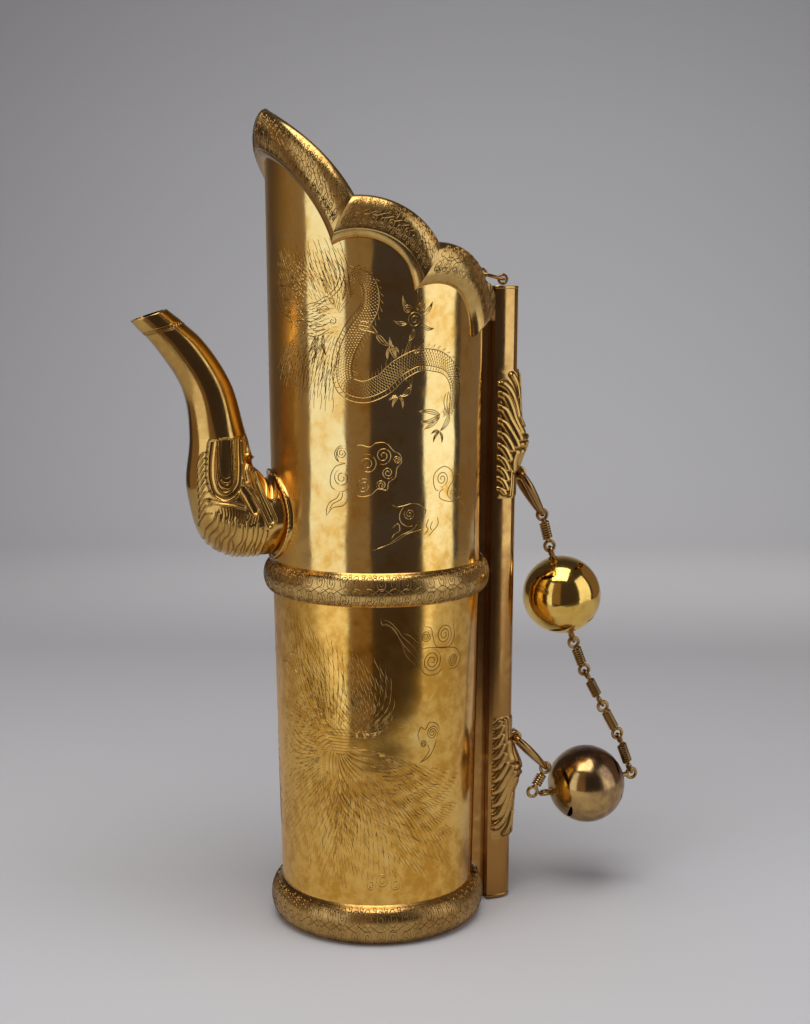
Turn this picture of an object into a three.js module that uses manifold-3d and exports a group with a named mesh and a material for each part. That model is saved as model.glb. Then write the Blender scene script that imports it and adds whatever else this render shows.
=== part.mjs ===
// A gilt silver ewer: a tall two-stage vessel with a scalloped rim collar, a spout that grows out of a
// beast's head, an upright bar handle, and a chain with two hollow balls between two stirrup loops.
// Millimetres, +Z up. The origin is the centre of the foot, on the table. +X points to the handle,
// and the spout points along -X.
import * as THREE from 'three';
import { mergeVertices } from 'three/addons/utils/BufferGeometryUtils.js';
import Module from 'manifold-3d';

const wasm = await Module();
wasm.setup();

// Clearance between two pieces that touch, and the distance at which points count as one
const SEAT_GAP = 0.3;
const WELD = 1e-4;
const DEG = Math.PI / 180;

// Vessel wall: two tubes that meet at the middle and widen upwards, the lower one a little more.
// The rim radius is the wall's at the upper stage's full rise.
const WALL = 1.4;
const FOOT_RADIUS = 53.9;
const MID_RADIUS = 58;
const RIM_RADIUS = 60.2;
const MID_HEIGHT = 197;
const UPPER_STAGE_RISE = 238;
const BASE_PLATE_THICKNESS = 1.6;

// Half-round mouldings round the foot and the middle, hollow behind
const MOULDING_WALL = 1.5;
const BASE_RING_HEIGHT = 22.2;
const BASE_RING_BULGE = 6.4;
const MID_RING_HEIGHT = 18.3;
const MID_RING_BULGE = 5.1;

// Rim collar, drawn on the unrolled wall: distance round the wall from the spout side, and height
// above the middle joint. Each lobe is an arc, and the lobes meet in mitred cusps.
const COLLAR_WIDTH = 21.4;
const COLLAR_BULGE = 6;
const COLLAR_TIP_SPREAD = 2.2;
const COLLAR_TIP_REACH = 22;
const CREST_CENTRE = new THREE.Vector2(-11, 159);
const CREST_RADIUS = 80.6;
const SHOULDER_CENTRE = new THREE.Vector2(70.3, 154.3);
const FLANK_CENTRE = new THREE.Vector2(113, 130.9);
const LOBE_RADIUS = 39.8;
const BACK_LOBE_RADIUS = 134.7;
const BACK_LOBE_RISE = 151.7;
const RIM_SETBACK = 0.6;
const MITRE_SPARE = 3 * DEG;

// Spout: stations from the wall to the mouth. Each joins a place on the spout's inner bend to one on its
// outer bend, as reach from the wall and rise above the spout's root, with the half width across.
// The stations fan out round the bend, so no two of them cross.
const SPOUT_STATIONS = [
  { inner: [-3.3, 21], outer: [-3.3, -21.5], half: 21.2 },
  { inner: [4.7, 22], outer: [7.7, -23.3], half: 22.5 },
  { inner: [6.7, 24], outer: [26.7, -22.4], half: 22.8 },
  { inner: [8.5, 26.3], outer: [41.2, -11.5], half: 22.3 },
  { inner: [11, 31], outer: [47.9, 15], half: 18.8 },
  { inner: [15.4, 46], outer: [45.6, 44], half: 15 },
  { inner: [22.7, 72], outer: [49.1, 68.7], half: 13.3 },
  { inner: [37.7, 95.5], outer: [62, 90], half: 12 },
  { inner: [56.8, 111.7], outer: [75.3, 105.5], half: 9.9 },
];
const SPOUT_WALL = 1.5;
const SPOUT_HEAD_END = 4.55;
const HEAD_BORE = 10.5;
const WALL_HOLE_RADIUS = 9;
const LIP_START = 7.6;
const LIP_THICKNESS = 0.8;
const ROOT_COLLAR_CLEARANCE = 1.2;
const ROOT_COLLAR_SHEET = 1.9;
const ROOT_COLLAR_DEPTH = 5;

// Handle: a hollow bar of D section that leans out with the vessel's flare, and its web plate.
// The clearances are to the base ring, to the rim collar, at least to the middle ring, and below the
// collar's upper edge.
const BAR_FOOT_CLEARANCE = 3.7;
const BAR_RIM_CLEARANCE = 1.2;
const BAR_MID_CLEARANCE = 2;
const BAR_TOP_DROP = 3.4;
const BAR_DEPTH = 15.6;
const BAR_WIDTH = 16.4;
const BAR_SIDE = 6;
const BAR_SHEET = 1.2;
const BAR_FOOT = 1.2;
const CAP_THICKNESS = 1.6;
const WEB_THICKNESS = 3;
const WEB_TOP_DROP = 1.5;

// Beast masks on the bar: the stirrup pivots above and below the middle joint, and how far a mask runs
// from its pivot
const UPPER_PIVOT_RISE = 53.5;
const LOWER_PIVOT_DROP = 101.5;
const PIVOT_REACH = 2.3;
const MASK_MANE = 59;
const MASK_CHIN = 14;
const MASK_PLATE = 1.7;
const MASK_WRAP = 0.86;
const SNOUT_BULGE = 6.2;
const SNOUT_RISE = 19;
const SNOUT_LENGTH = 12;
const SNOUT_SPREAD = 0.5;
const BROW_SHARE = 0.35;
const BROW_LENGTH = 34;
const JAW_ROLL_SHEET = 1.9;
const JAW_ROLL_WIDTH = 8;

// Stirrups: a tapering loop whose root bar turns in the jaw
const STIRRUP_LENGTH = 29;
const STIRRUP_TIP_HALF_WIDTH = 2.8;
const STIRRUP_ROOT_RADIUS = 1.7;
const STIRRUP_LEG_RADIUS = 2.1;
const STIRRUP_TIP_RADIUS = 1.4;
const UPPER_DROOP = 59 * DEG;
const LOWER_DROOP = 46 * DEG;

// Chain: wire, eye loops and wound shanks of the links
const WIRE_RADIUS = 0.85;
const LOOP_BORE = 1.9;
const SHANK_RADIUS = 1.5;
const WINDING_WIRE = 0.5;
const WINDING_PITCH = 1.55;
const WINDING_TURNS = 5;
const SHORT_WINDING_TURNS = 4;
const LINK_A = { length: 20, droop: 75.4 * DEG };
const LINK_B = { length: 19.7, droop: 67.8 * DEG };
const LINK_C = { length: 24.6, droop: 61.8 * DEG };
const LINK_D = { length: 21.2, droop: 60.9 * DEG };
const LINK_E = { length: 25.6, droop: 69.5 * DEG };

// Balls: hollow halves with slits, and an eye at each pole
const BALL_RADIUS = 22.7;
const BALL_SHEET = 1.2;
const BALL_EYE_RISE = 6.6;
const BALL_1_DROOP = 74.8 * DEG;
const BALL_2_DROOP = 172.4 * DEG;
const SLIT_LENGTH = 12;
const SLIT_WIDTH = 2.6;
const SLIT_LATITUDE = 45 * DEG;
const SLITS_PER_END = 4;
const EYE_STEM_RADIUS = 1.3;

// Tie between the bar's top and the rim
const TIE_EYE_BORE = 1.7;
const TIE_WIRE = 0.8;
const TIE_LINK_HALF_WIDTH = 2.4;
const BAR_EYE_OUT = 7;
const RIM_EYE_OUT = 1.7;

// How finely round shapes are divided
const WALL_SIDES = 44;
const RING_STEPS = 7;
const HOLLOW_STEPS = 3;
const COLLAR_STEPS = 6;
const COLLAR_STEP_LENGTH = 7;
const PIPE_SIDES = 16;
const HEAD_STEPS = 10;
const TUBE_STEPS = 9;
const LIP_STEPS = 3;
const BALL_SIDES = 16;
const BALL_STEPS = 5;
const LOOP_SIDES = 11;
const WIRE_SIDES = 6;
const EYE_SIDES = 5;
const CURL_STEPS = 8;
const CURL_SIDES = 5;
const MASK_RINGS = 12;
const MASK_SIDES = 10;
const STIRRUP_CORNERS = 6;
const FAR = 400;

// Sizes that follow from the ones above
const RIM_RADIUS_HEIGHT = MID_HEIGHT + UPPER_STAGE_RISE;
const HALF_ROUND = Math.PI * RIM_RADIUS;
const COLLAR_HALF = COLLAR_WIDTH / 2;
const BACK_LOBE_HEIGHT = MID_HEIGHT + BACK_LOBE_RISE;
const COLLAR_BACK_TOP = BACK_LOBE_HEIGHT + COLLAR_HALF;
const ROOT_COLLAR_BORE = SPOUT_STATIONS[1].half + ROOT_COLLAR_CLEARANCE;
const ROOT_COLLAR_RADIUS = ROOT_COLLAR_BORE + ROOT_COLLAR_SHEET;
const SPOUT_HEIGHT = MID_HEIGHT + MID_RING_HEIGHT / 2 + ROOT_COLLAR_RADIUS + SEAT_GAP;
const BAR_HEIGHT = COLLAR_BACK_TOP - BAR_TOP_DROP;
const BAR_FOOT_STAND = FOOT_RADIUS + BASE_RING_BULGE + BAR_FOOT_CLEARANCE;
const BAR_RIM_STAND = wallRadius(BACK_LOBE_HEIGHT) + COLLAR_BULGE + BAR_RIM_CLEARANCE;
const BAR_MID_STAND = MID_RADIUS + MID_RING_BULGE + BAR_MID_CLEARANCE;
const BAR_LEAN = Math.atan2(BAR_RIM_STAND - BAR_FOOT_STAND, BACK_LOBE_HEIGHT);
const BAR_MID_REACH = BAR_FOOT_STAND + MID_HEIGHT * Math.tan(BAR_LEAN);
const BAR_FOOT_REACH = BAR_FOOT_STAND + Math.max(0, BAR_MID_STAND - BAR_MID_REACH);
const UPPER_PIVOT_HEIGHT = MID_HEIGHT + UPPER_PIVOT_RISE;
const LOWER_PIVOT_HEIGHT = MID_HEIGHT - LOWER_PIVOT_DROP;
const WEB_TOP = BACK_LOBE_HEIGHT - COLLAR_HALF - WEB_TOP_DROP;
const JAW_ROLL_RADIUS = STIRRUP_ROOT_RADIUS + SEAT_GAP + JAW_ROLL_SHEET;
const STIRRUP_HALF_WIDTH = JAW_ROLL_WIDTH / 2 + STIRRUP_LEG_RADIUS + SEAT_GAP;
const WINDING_RADIUS = (SHANK_RADIUS + SEAT_GAP + WINDING_WIRE) / Math.cos(Math.PI / CURL_STEPS);
const BALL_EYE_REACH = BALL_RADIUS + BALL_EYE_RISE;

// Finishes
const GILT = new THREE.MeshStandardMaterial({ color: 0xc8962e, roughness: 0.22, metalness: 1 });
const DARK_GILT = new THREE.MeshStandardMaterial({ color: 0x9a7030, roughness: 0.34, metalness: 1 });

const ewer = new THREE.Group();

// Adds a named piece to a group
function addPiece(name, geometry, group = ewer, material = GILT) {
  const piece = new THREE.Mesh(geometry, material);
  piece.name = name;
  group.add(piece);
  return piece;
}

// Signed volume of an indexed mesh, positive when its faces point out
function signedVolume(geometry) {
  const place = geometry.attributes.position;
  const corner = [new THREE.Vector3(), new THREE.Vector3(), new THREE.Vector3()];
  let total = 0;
  for (let i = 0; i < geometry.index.count; i += 3) {
    corner.forEach((point, k) => point.fromBufferAttribute(place, geometry.index.getX(i + k)));
    total += corner[0].dot(corner[1].clone().cross(corner[2])) / 6;
  }
  return total;
}

// Merges shared points and turns the faces outwards
function closed(geometry) {
  const bare = geometry.clone();
  bare.deleteAttribute('normal');
  bare.deleteAttribute('uv');
  const merged = mergeVertices(bare, WELD);
  if (signedVolume(merged) < 0) {
    const faces = merged.index.array;
    for (let i = 0; i < faces.length; i += 3) {
      [faces[i], faces[i + 1]] = [faces[i + 1], faces[i]];
    }
  }
  merged.computeVertexNormals();
  return merged;
}

// Solids for cutting and joining, and back to geometry
function solidOf(geometry) {
  const merged = closed(geometry);
  const mesh = new wasm.Mesh({
    numProp: 3,
    vertProperties: new Float32Array(merged.attributes.position.array),
    triVerts: new Uint32Array(merged.index.array),
  });
  return new wasm.Manifold(mesh);
}

function geometryOf(solid) {
  const mesh = solid.getMesh();
  const geometry = new THREE.BufferGeometry();
  geometry.setAttribute('position', new THREE.BufferAttribute(new Float32Array(mesh.vertProperties), 3));
  geometry.setIndex(new THREE.BufferAttribute(new Uint32Array(mesh.triVerts), 1));
  geometry.computeVertexNormals();
  return geometry;
}

function cut(geometry, ...cutters) {
  let solid = solidOf(geometry);
  for (const cutter of cutters) {
    solid = solid.subtract(solidOf(cutter));
  }
  return geometryOf(solid);
}

function join(geometry, ...others) {
  let solid = solidOf(geometry);
  for (const other of others) {
    solid = solid.add(solidOf(other));
  }
  return geometryOf(solid);
}

// Skins rings of equal point counts into one body. An open row of rings gets a cap at each end,
// whose faces come from the flat outline given with it.
function skin(rings, outline = null) {
  const sides = rings[0].length;
  const points = rings.flat();
  const faces = [];
  const last = outline ? rings.length - 1 : rings.length;
  for (let i = 0; i < last; i += 1) {
    const near = i * sides;
    const far = ((i + 1) % rings.length) * sides;
    for (let j = 0; j < sides; j += 1) {
      const next = (j + 1) % sides;
      faces.push(near + j, near + next, far + next);
      faces.push(near + j, far + next, far + j);
    }
  }
  if (outline) {
    const end = (rings.length - 1) * sides;
    for (const [a, b, c] of THREE.ShapeUtils.triangulateShape(outline, [])) {
      faces.push(c, b, a);
      faces.push(end + a, end + b, end + c);
    }
  }
  const geometry = new THREE.BufferGeometry();
  geometry.setAttribute('position', new THREE.Float32BufferAttribute(points.flatMap((p) => p.toArray()), 3));
  geometry.setIndex(faces);
  return closed(geometry);
}

// A turned piece: the outline of radius and height closes on itself
function turned(outline, sides = WALL_SIDES) {
  const profile = [...outline, outline[0]].map(([radius, height]) => new THREE.Vector2(radius, height));
  return closed(new THREE.LatheGeometry(profile, sides).rotateX(Math.PI / 2));
}

// A round rod along Y
function rod(radius, length, sides = WIRE_SIDES + 2) {
  return closed(new THREE.CylinderGeometry(radius, radius, length, sides));
}

// A block that takes away everything beyond a plane through a point
function beyond(point, normal) {
  const block = new THREE.BoxGeometry(FAR, FAR, FAR).translate(0, 0, FAR / 2);
  const turn = new THREE.Quaternion().setFromUnitVectors(new THREE.Vector3(0, 0, 1), normal);
  return block.applyQuaternion(turn).translate(point.x, point.y, point.z);
}

// Unit vector in the plane of spout and handle that falls by an angle below +X
function falling(droop) {
  return new THREE.Vector3(Math.cos(droop), 0, -Math.sin(droop));
}

// Outer radius of the vessel wall at a height
function wallRadius(height) {
  if (height < MID_HEIGHT) {
    return THREE.MathUtils.lerp(FOOT_RADIUS, MID_RADIUS, height / MID_HEIGHT);
  }
  const share = (height - MID_HEIGHT) / (RIM_RADIUS_HEIGHT - MID_HEIGHT);
  return MID_RADIUS + (RIM_RADIUS - MID_RADIUS) * share;
}

// Lobes of the rim collar on the unrolled wall
const BACK_CENTRE = new THREE.Vector2(HALF_ROUND, BACK_LOBE_RISE - BACK_LOBE_RADIUS);
const lobeAt = ({ x, y }, radius) => ({ centre: new THREE.Vector2(x, MID_HEIGHT + y), radius });
const LOBES = {
  crest: lobeAt(CREST_CENTRE, CREST_RADIUS),
  shoulder: lobeAt(SHOULDER_CENTRE, LOBE_RADIUS),
  flank: lobeAt(FLANK_CENTRE, LOBE_RADIUS),
  back: lobeAt(BACK_CENTRE, BACK_LOBE_RADIUS),
};

// Upper crossing of two lobes, each widened by the same amount
function lobeCrossing(first, second, widen) {
  const line = second.centre.clone().sub(first.centre);
  const span = line.length();
  const [r1, r2] = [first.radius + widen, second.radius + widen];
  const along = (r1 * r1 - r2 * r2 + span * span) / (2 * span);
  const across = Math.sqrt(r1 * r1 - along * along);
  line.normalize();
  const upward = new THREE.Vector2(-line.y, line.x);
  return first.centre.clone().addScaledVector(line, along).addScaledVector(upward, across);
}

function cuspBetween(first, second) {
  return {
    low: lobeCrossing(first, second, -COLLAR_HALF),
    high: lobeCrossing(first, second, COLLAR_HALF),
  };
}

const CUSPS = [
  cuspBetween(LOBES.crest, LOBES.shoulder),
  cuspBetween(LOBES.shoulder, LOBES.flank),
  cuspBetween(LOBES.flank, LOBES.back),
];

// A place on the wall: side is +1 or -1, lift is the distance off the wall
function onWall(around, height, lift, side) {
  const turn = around / RIM_RADIUS;
  const radius = wallRadius(height) + lift;
  return new THREE.Vector3(-radius * Math.cos(turn), side * radius * Math.sin(turn), height);
}

// Height of the wall's edge, which follows the collar's upper edge
function rimHeight(around) {
  const order = [LOBES.crest, LOBES.shoulder, LOBES.flank, LOBES.back];
  const lobe = order.find((_, i) => i === CUSPS.length || around <= CUSPS[i].high.x);
  const radius = lobe.radius + collarHalf(around) - RIM_SETBACK;
  const offset = around - lobe.centre.x;
  return lobe.centre.y + Math.sqrt(radius * radius - offset * offset);
}

// Vessel: tubes, plate and mouldings
function lowerBodyTube() {
  const foot = BASE_PLATE_THICKNESS + SEAT_GAP;
  const top = MID_HEIGHT - SEAT_GAP / 2;
  return turned([
    [wallRadius(foot) - WALL, foot],
    [wallRadius(foot), foot],
    [wallRadius(top), top],
    [wallRadius(top) - WALL, top],
  ]);
}

function upperBodyTube() {
  const foot = MID_HEIGHT + SEAT_GAP / 2;
  const tube = turned([
    [MID_RADIUS - WALL, foot],
    [MID_RADIUS, foot],
    [RIM_RADIUS, RIM_RADIUS_HEIGHT],
    [RIM_RADIUS - WALL, RIM_RADIUS_HEIGHT],
  ], WALL_SIDES * 2);
  const place = tube.attributes.position;
  for (let i = 0; i < place.count; i += 1) {
    if (place.getZ(i) > foot + UPPER_STAGE_RISE / 2) {
      const inset = RIM_RADIUS - Math.hypot(place.getX(i), place.getY(i));
      const turn = Math.atan2(Math.abs(place.getY(i)), -place.getX(i));
      const height = rimHeight(turn * RIM_RADIUS);
      const spot = onWall(turn * RIM_RADIUS, height, -inset, Math.sign(place.getY(i)) || 1);
      place.setXYZ(i, spot.x, spot.y, spot.z);
    }
  }
  const hole = rod(WALL_HOLE_RADIUS, MID_RADIUS, PIPE_SIDES).rotateZ(Math.PI / 2);
  return cut(tube, hole.translate(-MID_RADIUS, 0, SPOUT_HEIGHT));
}

function basePlate() {
  const edge = wallRadius(BASE_PLATE_THICKNESS);
  return closed(new THREE.CylinderGeometry(edge, edge, BASE_PLATE_THICKNESS, WALL_SIDES)
    .rotateX(Math.PI / 2).translate(0, 0, BASE_PLATE_THICKNESS / 2));
}

// Half-round section, hollow behind: places along the width from -1 to 1 and off the wall from 0 to 1,
// with the inset of the sheet's inner face. The outer face runs one way and the hollow runs back.
function halfRound(outerSteps) {
  const section = [];
  for (let i = 0; i <= outerSteps; i += 1) {
    const angle = i * Math.PI / outerSteps;
    section.push({ across: Math.cos(angle), off: Math.sin(angle), inset: 0 });
  }
  for (let i = HOLLOW_STEPS; i >= 0; i -= 1) {
    const angle = i * Math.PI / HOLLOW_STEPS;
    section.push({ across: Math.cos(angle), off: Math.sin(angle), inset: MOULDING_WALL });
  }
  return section;
}

function mouldingRing(height, bulge, centre) {
  return turned(halfRound(RING_STEPS).map(({ across, off, inset }) => {
    const level = centre + (height / 2 - inset) * across;
    return [wallRadius(level) + SEAT_GAP + (bulge - inset) * off, level];
  }));
}

// Half width of the collar, which spreads towards its tip above the spout
function collarHalf(around) {
  return COLLAR_HALF + COLLAR_TIP_SPREAD * Math.exp(-((around / COLLAR_TIP_REACH) ** 2));
}

// Collar: the half-round section carried along a lobe, then mitred at its cusps
function collarBand(lobe, from, to, side) {
  const section = halfRound(COLLAR_STEPS);
  const steps = Math.ceil((to - from) * lobe.radius / COLLAR_STEP_LENGTH);
  const rings = [];
  for (let i = 0; i <= steps; i += 1) {
    const turn = THREE.MathUtils.lerp(from, to, i / steps);
    const half = collarHalf(lobe.centre.x + lobe.radius * Math.sin(turn));
    rings.push(section.map(({ across, off, inset }) => {
      const reach = lobe.radius + (half - inset) * across;
      const around = lobe.centre.x + reach * Math.sin(turn);
      const lift = SEAT_GAP + (COLLAR_BULGE - inset) * off;
      return onWall(around, lobe.centre.y + reach * Math.cos(turn), lift, side);
    }));
  }
  const outline = section.map(({ across, off, inset }) => (
    new THREE.Vector2((COLLAR_HALF - inset) * across, (COLLAR_BULGE - inset) * off)
  ));
  return skin(rings, outline);
}

// Turn of a point about a lobe's centre, from straight up
function turnAbout(lobe, point) {
  return Math.atan2(point.x - lobe.centre.x, point.y - lobe.centre.y);
}

// Cutting block at a cusp. Away is +1 to take what lies further round from the spout.
function mitre(cusp, side, away) {
  const low = onWall(cusp.low.x, cusp.low.y, 0, side);
  const high = onWall(cusp.high.x, cusp.high.y, 0, side);
  const outward = new THREE.Vector3(low.x + high.x, low.y + high.y, 0).normalize();
  const normal = outward.cross(high.clone().sub(low)).normalize().multiplyScalar(side * away);
  return beyond(low.addScaledVector(normal, -SEAT_GAP / 2), normal);
}

function lobeSpan(lobe, before, after) {
  const starts = before ? [before.low, before.high].map((point) => turnAbout(lobe, point)) : [];
  const ends = after ? [after.low, after.high].map((point) => turnAbout(lobe, point)) : [];
  return [Math.min(...starts) - MITRE_SPARE, Math.max(...ends) + MITRE_SPARE];
}

function crestPiece(side) {
  const start = Math.asin(-LOBES.crest.centre.x / (LOBES.crest.radius + COLLAR_HALF)) - MITRE_SPARE;
  const end = lobeSpan(LOBES.crest, null, CUSPS[0])[1];
  const seam = new THREE.Vector3(0, side * SEAT_GAP / 2, LOBES.crest.centre.y);
  const middle = beyond(seam, new THREE.Vector3(0, -side, 0));
  return cut(collarBand(LOBES.crest, start, end, side), middle, mitre(CUSPS[0], side, 1));
}

function lobePiece(lobe, before, after, side) {
  const [start, end] = lobeSpan(lobe, before, after);
  return cut(collarBand(lobe, start, end, side), mitre(before, side, -1), mitre(after, side, 1));
}

function backPiece() {
  const [start] = lobeSpan(LOBES.back, CUSPS[2], null);
  const band = collarBand(LOBES.back, start, -start, 1);
  return cut(band, mitre(CUSPS[2], 1, -1), mitre(CUSPS[2], -1, -1));
}

// Spout bends at a place along it, counted in stations from the wall
function spoutBend(key) {
  return new THREE.CatmullRomCurve3(SPOUT_STATIONS.map((station) => {
    const [reach, rise] = station[key];
    return new THREE.Vector3(-wallRadius(SPOUT_HEIGHT) - reach, 0, SPOUT_HEIGHT + rise);
  }));
}

const INNER_BEND = spoutBend('inner');
const OUTER_BEND = spoutBend('outer');
const HALF_WIDTHS = new THREE.CatmullRomCurve3(SPOUT_STATIONS.map(
  ({ half }, i) => new THREE.Vector3(i, half, 0),
));
const SPOUT_END = SPOUT_STATIONS.length - 1;

// Section of the spout at a station: its middle, the direction to the outer bend and both half sizes
function spoutSection(station) {
  const share = station / SPOUT_END;
  const inner = INNER_BEND.getPoint(share);
  const outer = OUTER_BEND.getPoint(share);
  const middle = inner.clone().add(outer).multiplyScalar(0.5);
  const depth = inner.distanceTo(outer) / 2;
  return { middle, outward: outer.sub(inner).normalize(), depth, half: HALF_WIDTHS.getPoint(share).y };
}

// Ring of points at a station, with a rule that turns a half size into a radius
function spoutRing(station, rule) {
  const { middle, outward, depth, half } = spoutSection(station);
  return Array.from({ length: PIPE_SIDES }, (_, j) => {
    const angle = j * 2 * Math.PI / PIPE_SIDES;
    const spot = middle.clone().addScaledVector(outward, rule(depth) * Math.cos(angle));
    spot.y = rule(half) * Math.sin(angle);
    return spot;
  });
}

// A pipe between two stations: outer skin there, bore back again
function spoutPipe(from, to, steps, outerRule, boreRule) {
  const stations = Array.from({ length: steps + 1 }, (_, i) => THREE.MathUtils.lerp(from, to, i / steps));
  const out = stations.map((station) => spoutRing(station, outerRule));
  const back = stations.map((station) => spoutRing(station, boreRule)).reverse();
  return skin([...out, ...back]);
}

const spoutBore = (size) => Math.min(HEAD_BORE, size - SPOUT_WALL);
const spoutSkin = (size) => size;

// Solid cone of the vessel's upper wall with a seating gap, to cut saddles
function wallCutter() {
  const [low, high] = [MID_HEIGHT, RIM_RADIUS_HEIGHT];
  return turned([
    [0, low],
    [wallRadius(low) + SEAT_GAP, low],
    [wallRadius(high) + SEAT_GAP, high],
    [0, high],
  ], WALL_SIDES * 2);
}

function spoutHead() {
  return cut(spoutPipe(0, SPOUT_HEAD_END, HEAD_STEPS, spoutSkin, spoutBore), wallCutter());
}

// Gap between head and tube, as a share of a station
const NEXT_MIDDLE = spoutSection(SPOUT_HEAD_END + 1).middle;
const HEAD_GAP = SEAT_GAP / spoutSection(SPOUT_HEAD_END).middle.distanceTo(NEXT_MIDDLE);

function spoutTube() {
  return spoutPipe(SPOUT_HEAD_END + HEAD_GAP, SPOUT_END, TUBE_STEPS, spoutSkin, spoutBore);
}

function spoutLip() {
  const sleeve = (size) => size + SEAT_GAP;
  const band = (size) => size + SEAT_GAP + LIP_THICKNESS;
  return spoutPipe(LIP_START, SPOUT_END, LIP_STEPS, band, sleeve);
}

function spoutRootCollar() {
  const wall = wallRadius(SPOUT_HEIGHT);
  const saddle = Math.sqrt(wall ** 2 - ROOT_COLLAR_RADIUS ** 2);
  const face = wall + ROOT_COLLAR_DEPTH;
  const ring = turned([
    [ROOT_COLLAR_BORE, saddle],
    [ROOT_COLLAR_RADIUS, saddle],
    [ROOT_COLLAR_RADIUS, face - ROOT_COLLAR_DEPTH / 3],
    [(ROOT_COLLAR_RADIUS + ROOT_COLLAR_BORE) / 2, face],
    [ROOT_COLLAR_BORE, face],
  ], PIPE_SIDES * 2);
  return cut(ring.rotateY(-Math.PI / 2).translate(0, 0, SPOUT_HEIGHT), wallCutter());
}

// Handle: everything on the bar sits in one group that leans with it
const handle = new THREE.Group();
handle.position.x = BAR_FOOT_REACH;
handle.rotation.y = BAR_LEAN;
ewer.add(handle);

// A place on the leaning bar, out from its back face and up from its foot
function onBar(out, up) {
  const spot = new THREE.Vector3(out, 0, up);
  return spot.applyAxisAngle(new THREE.Vector3(0, 1, 0), BAR_LEAN).add(handle.position);
}

// D outline of the bar, grown by an offset; back is where the flat back lies
function barOutline(offset, back) {
  const half = BAR_WIDTH / 2 + offset;
  const nose = BAR_DEPTH - BAR_SIDE + offset;
  const outline = new THREE.Shape();
  outline.moveTo(back, -half);
  outline.lineTo(BAR_SIDE, -half);
  outline.absellipse(BAR_SIDE, 0, nose, half, -Math.PI / 2, Math.PI / 2, false, 0);
  outline.lineTo(back, half);
  outline.closePath();
  return outline;
}

function barSlab(outline, low, high) {
  const settings = { depth: high - low, bevelEnabled: false, curveSegments: RING_STEPS };
  return closed(new THREE.ExtrudeGeometry(outline, settings).translate(0, 0, low));
}

const SHELL_LOW = BAR_FOOT + CAP_THICKNESS + SEAT_GAP;
const SHELL_HIGH = BAR_HEIGHT - CAP_THICKNESS - SEAT_GAP;

function barShell() {
  const trough = barSlab(barOutline(0, BAR_SHEET + SEAT_GAP), SHELL_LOW, SHELL_HIGH);
  return cut(trough, barSlab(barOutline(-BAR_SHEET, -BAR_SHEET), 0, BAR_HEIGHT));
}

function barBackStrip() {
  const strip = new THREE.BoxGeometry(BAR_SHEET, BAR_WIDTH, SHELL_HIGH - SHELL_LOW);
  return closed(strip.translate(BAR_SHEET / 2, 0, (SHELL_LOW + SHELL_HIGH) / 2));
}

// Web plate: it follows the wall, steps round the two mouldings and ends against the bar's back
function handleWeb() {
  const plate = new THREE.Shape();
  const seat = 2 * SEAT_GAP;
  const foot = onBar(-SEAT_GAP, BAR_FOOT);
  const head = onBar(-SEAT_GAP, WEB_TOP);
  const wallSpot = (height) => [wallRadius(height) + SEAT_GAP, height];
  const notch = (height, bulge, centre, from) => {
    for (let i = from; i <= RING_STEPS; i += 1) {
      const angle = i * Math.PI / RING_STEPS - Math.PI / 2;
      const level = centre + (height / 2 + SEAT_GAP) * Math.sin(angle);
      plate.lineTo(wallRadius(level) + seat + (bulge + SEAT_GAP) * Math.cos(angle), level);
    }
  };
  plate.moveTo(foot.x, BAR_FOOT);
  const base = BASE_RING_HEIGHT / 2;
  plate.lineTo(wallRadius(base) + BASE_RING_BULGE + 3 * SEAT_GAP, BAR_FOOT);
  notch(BASE_RING_HEIGHT, BASE_RING_BULGE, base, Math.ceil(RING_STEPS / 2));
  plate.lineTo(...wallSpot(MID_HEIGHT - MID_RING_HEIGHT / 2 - seat));
  notch(MID_RING_HEIGHT, MID_RING_BULGE, MID_HEIGHT, 0);
  plate.lineTo(...wallSpot(MID_HEIGHT + MID_RING_HEIGHT / 2 + seat));
  plate.lineTo(...wallSpot(WEB_TOP));
  plate.lineTo(head.x, WEB_TOP);
  plate.closePath();
  const slab = new THREE.ExtrudeGeometry(plate, { depth: WEB_THICKNESS, bevelEnabled: false });
  return closed(slab.rotateX(Math.PI / 2).translate(0, WEB_THICKNESS / 2, 0));
}

// Mask: a shell over the bar that thickens to a snout, with the jaw roll that holds the stirrup.
// Facing is +1 when the mane runs up from the pivot and -1 when it runs down.
function barSkinSpot(share, lift) {
  const half = BAR_WIDTH / 2;
  const nose = BAR_DEPTH - BAR_SIDE;
  const angle = share * Math.PI / 2;
  const normal = new THREE.Vector2(Math.cos(angle) / nose, Math.sin(angle) / half).normalize();
  return new THREE.Vector2(BAR_SIDE + nose * Math.cos(angle), half * Math.sin(angle))
    .addScaledVector(normal, lift);
}

function maskLift(share, above) {
  const ridge = Math.exp(-((share / SNOUT_SPREAD) ** 2));
  const rise = above - SNOUT_RISE;
  const snout = Math.exp(-((rise / SNOUT_LENGTH) ** 2));
  const brow = rise > 0 ? BROW_SHARE * Math.exp(-((rise / BROW_LENGTH) ** 2)) : 0;
  return MASK_PLATE + SEAT_GAP + SNOUT_BULGE * ridge * Math.max(snout, brow);
}

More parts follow.
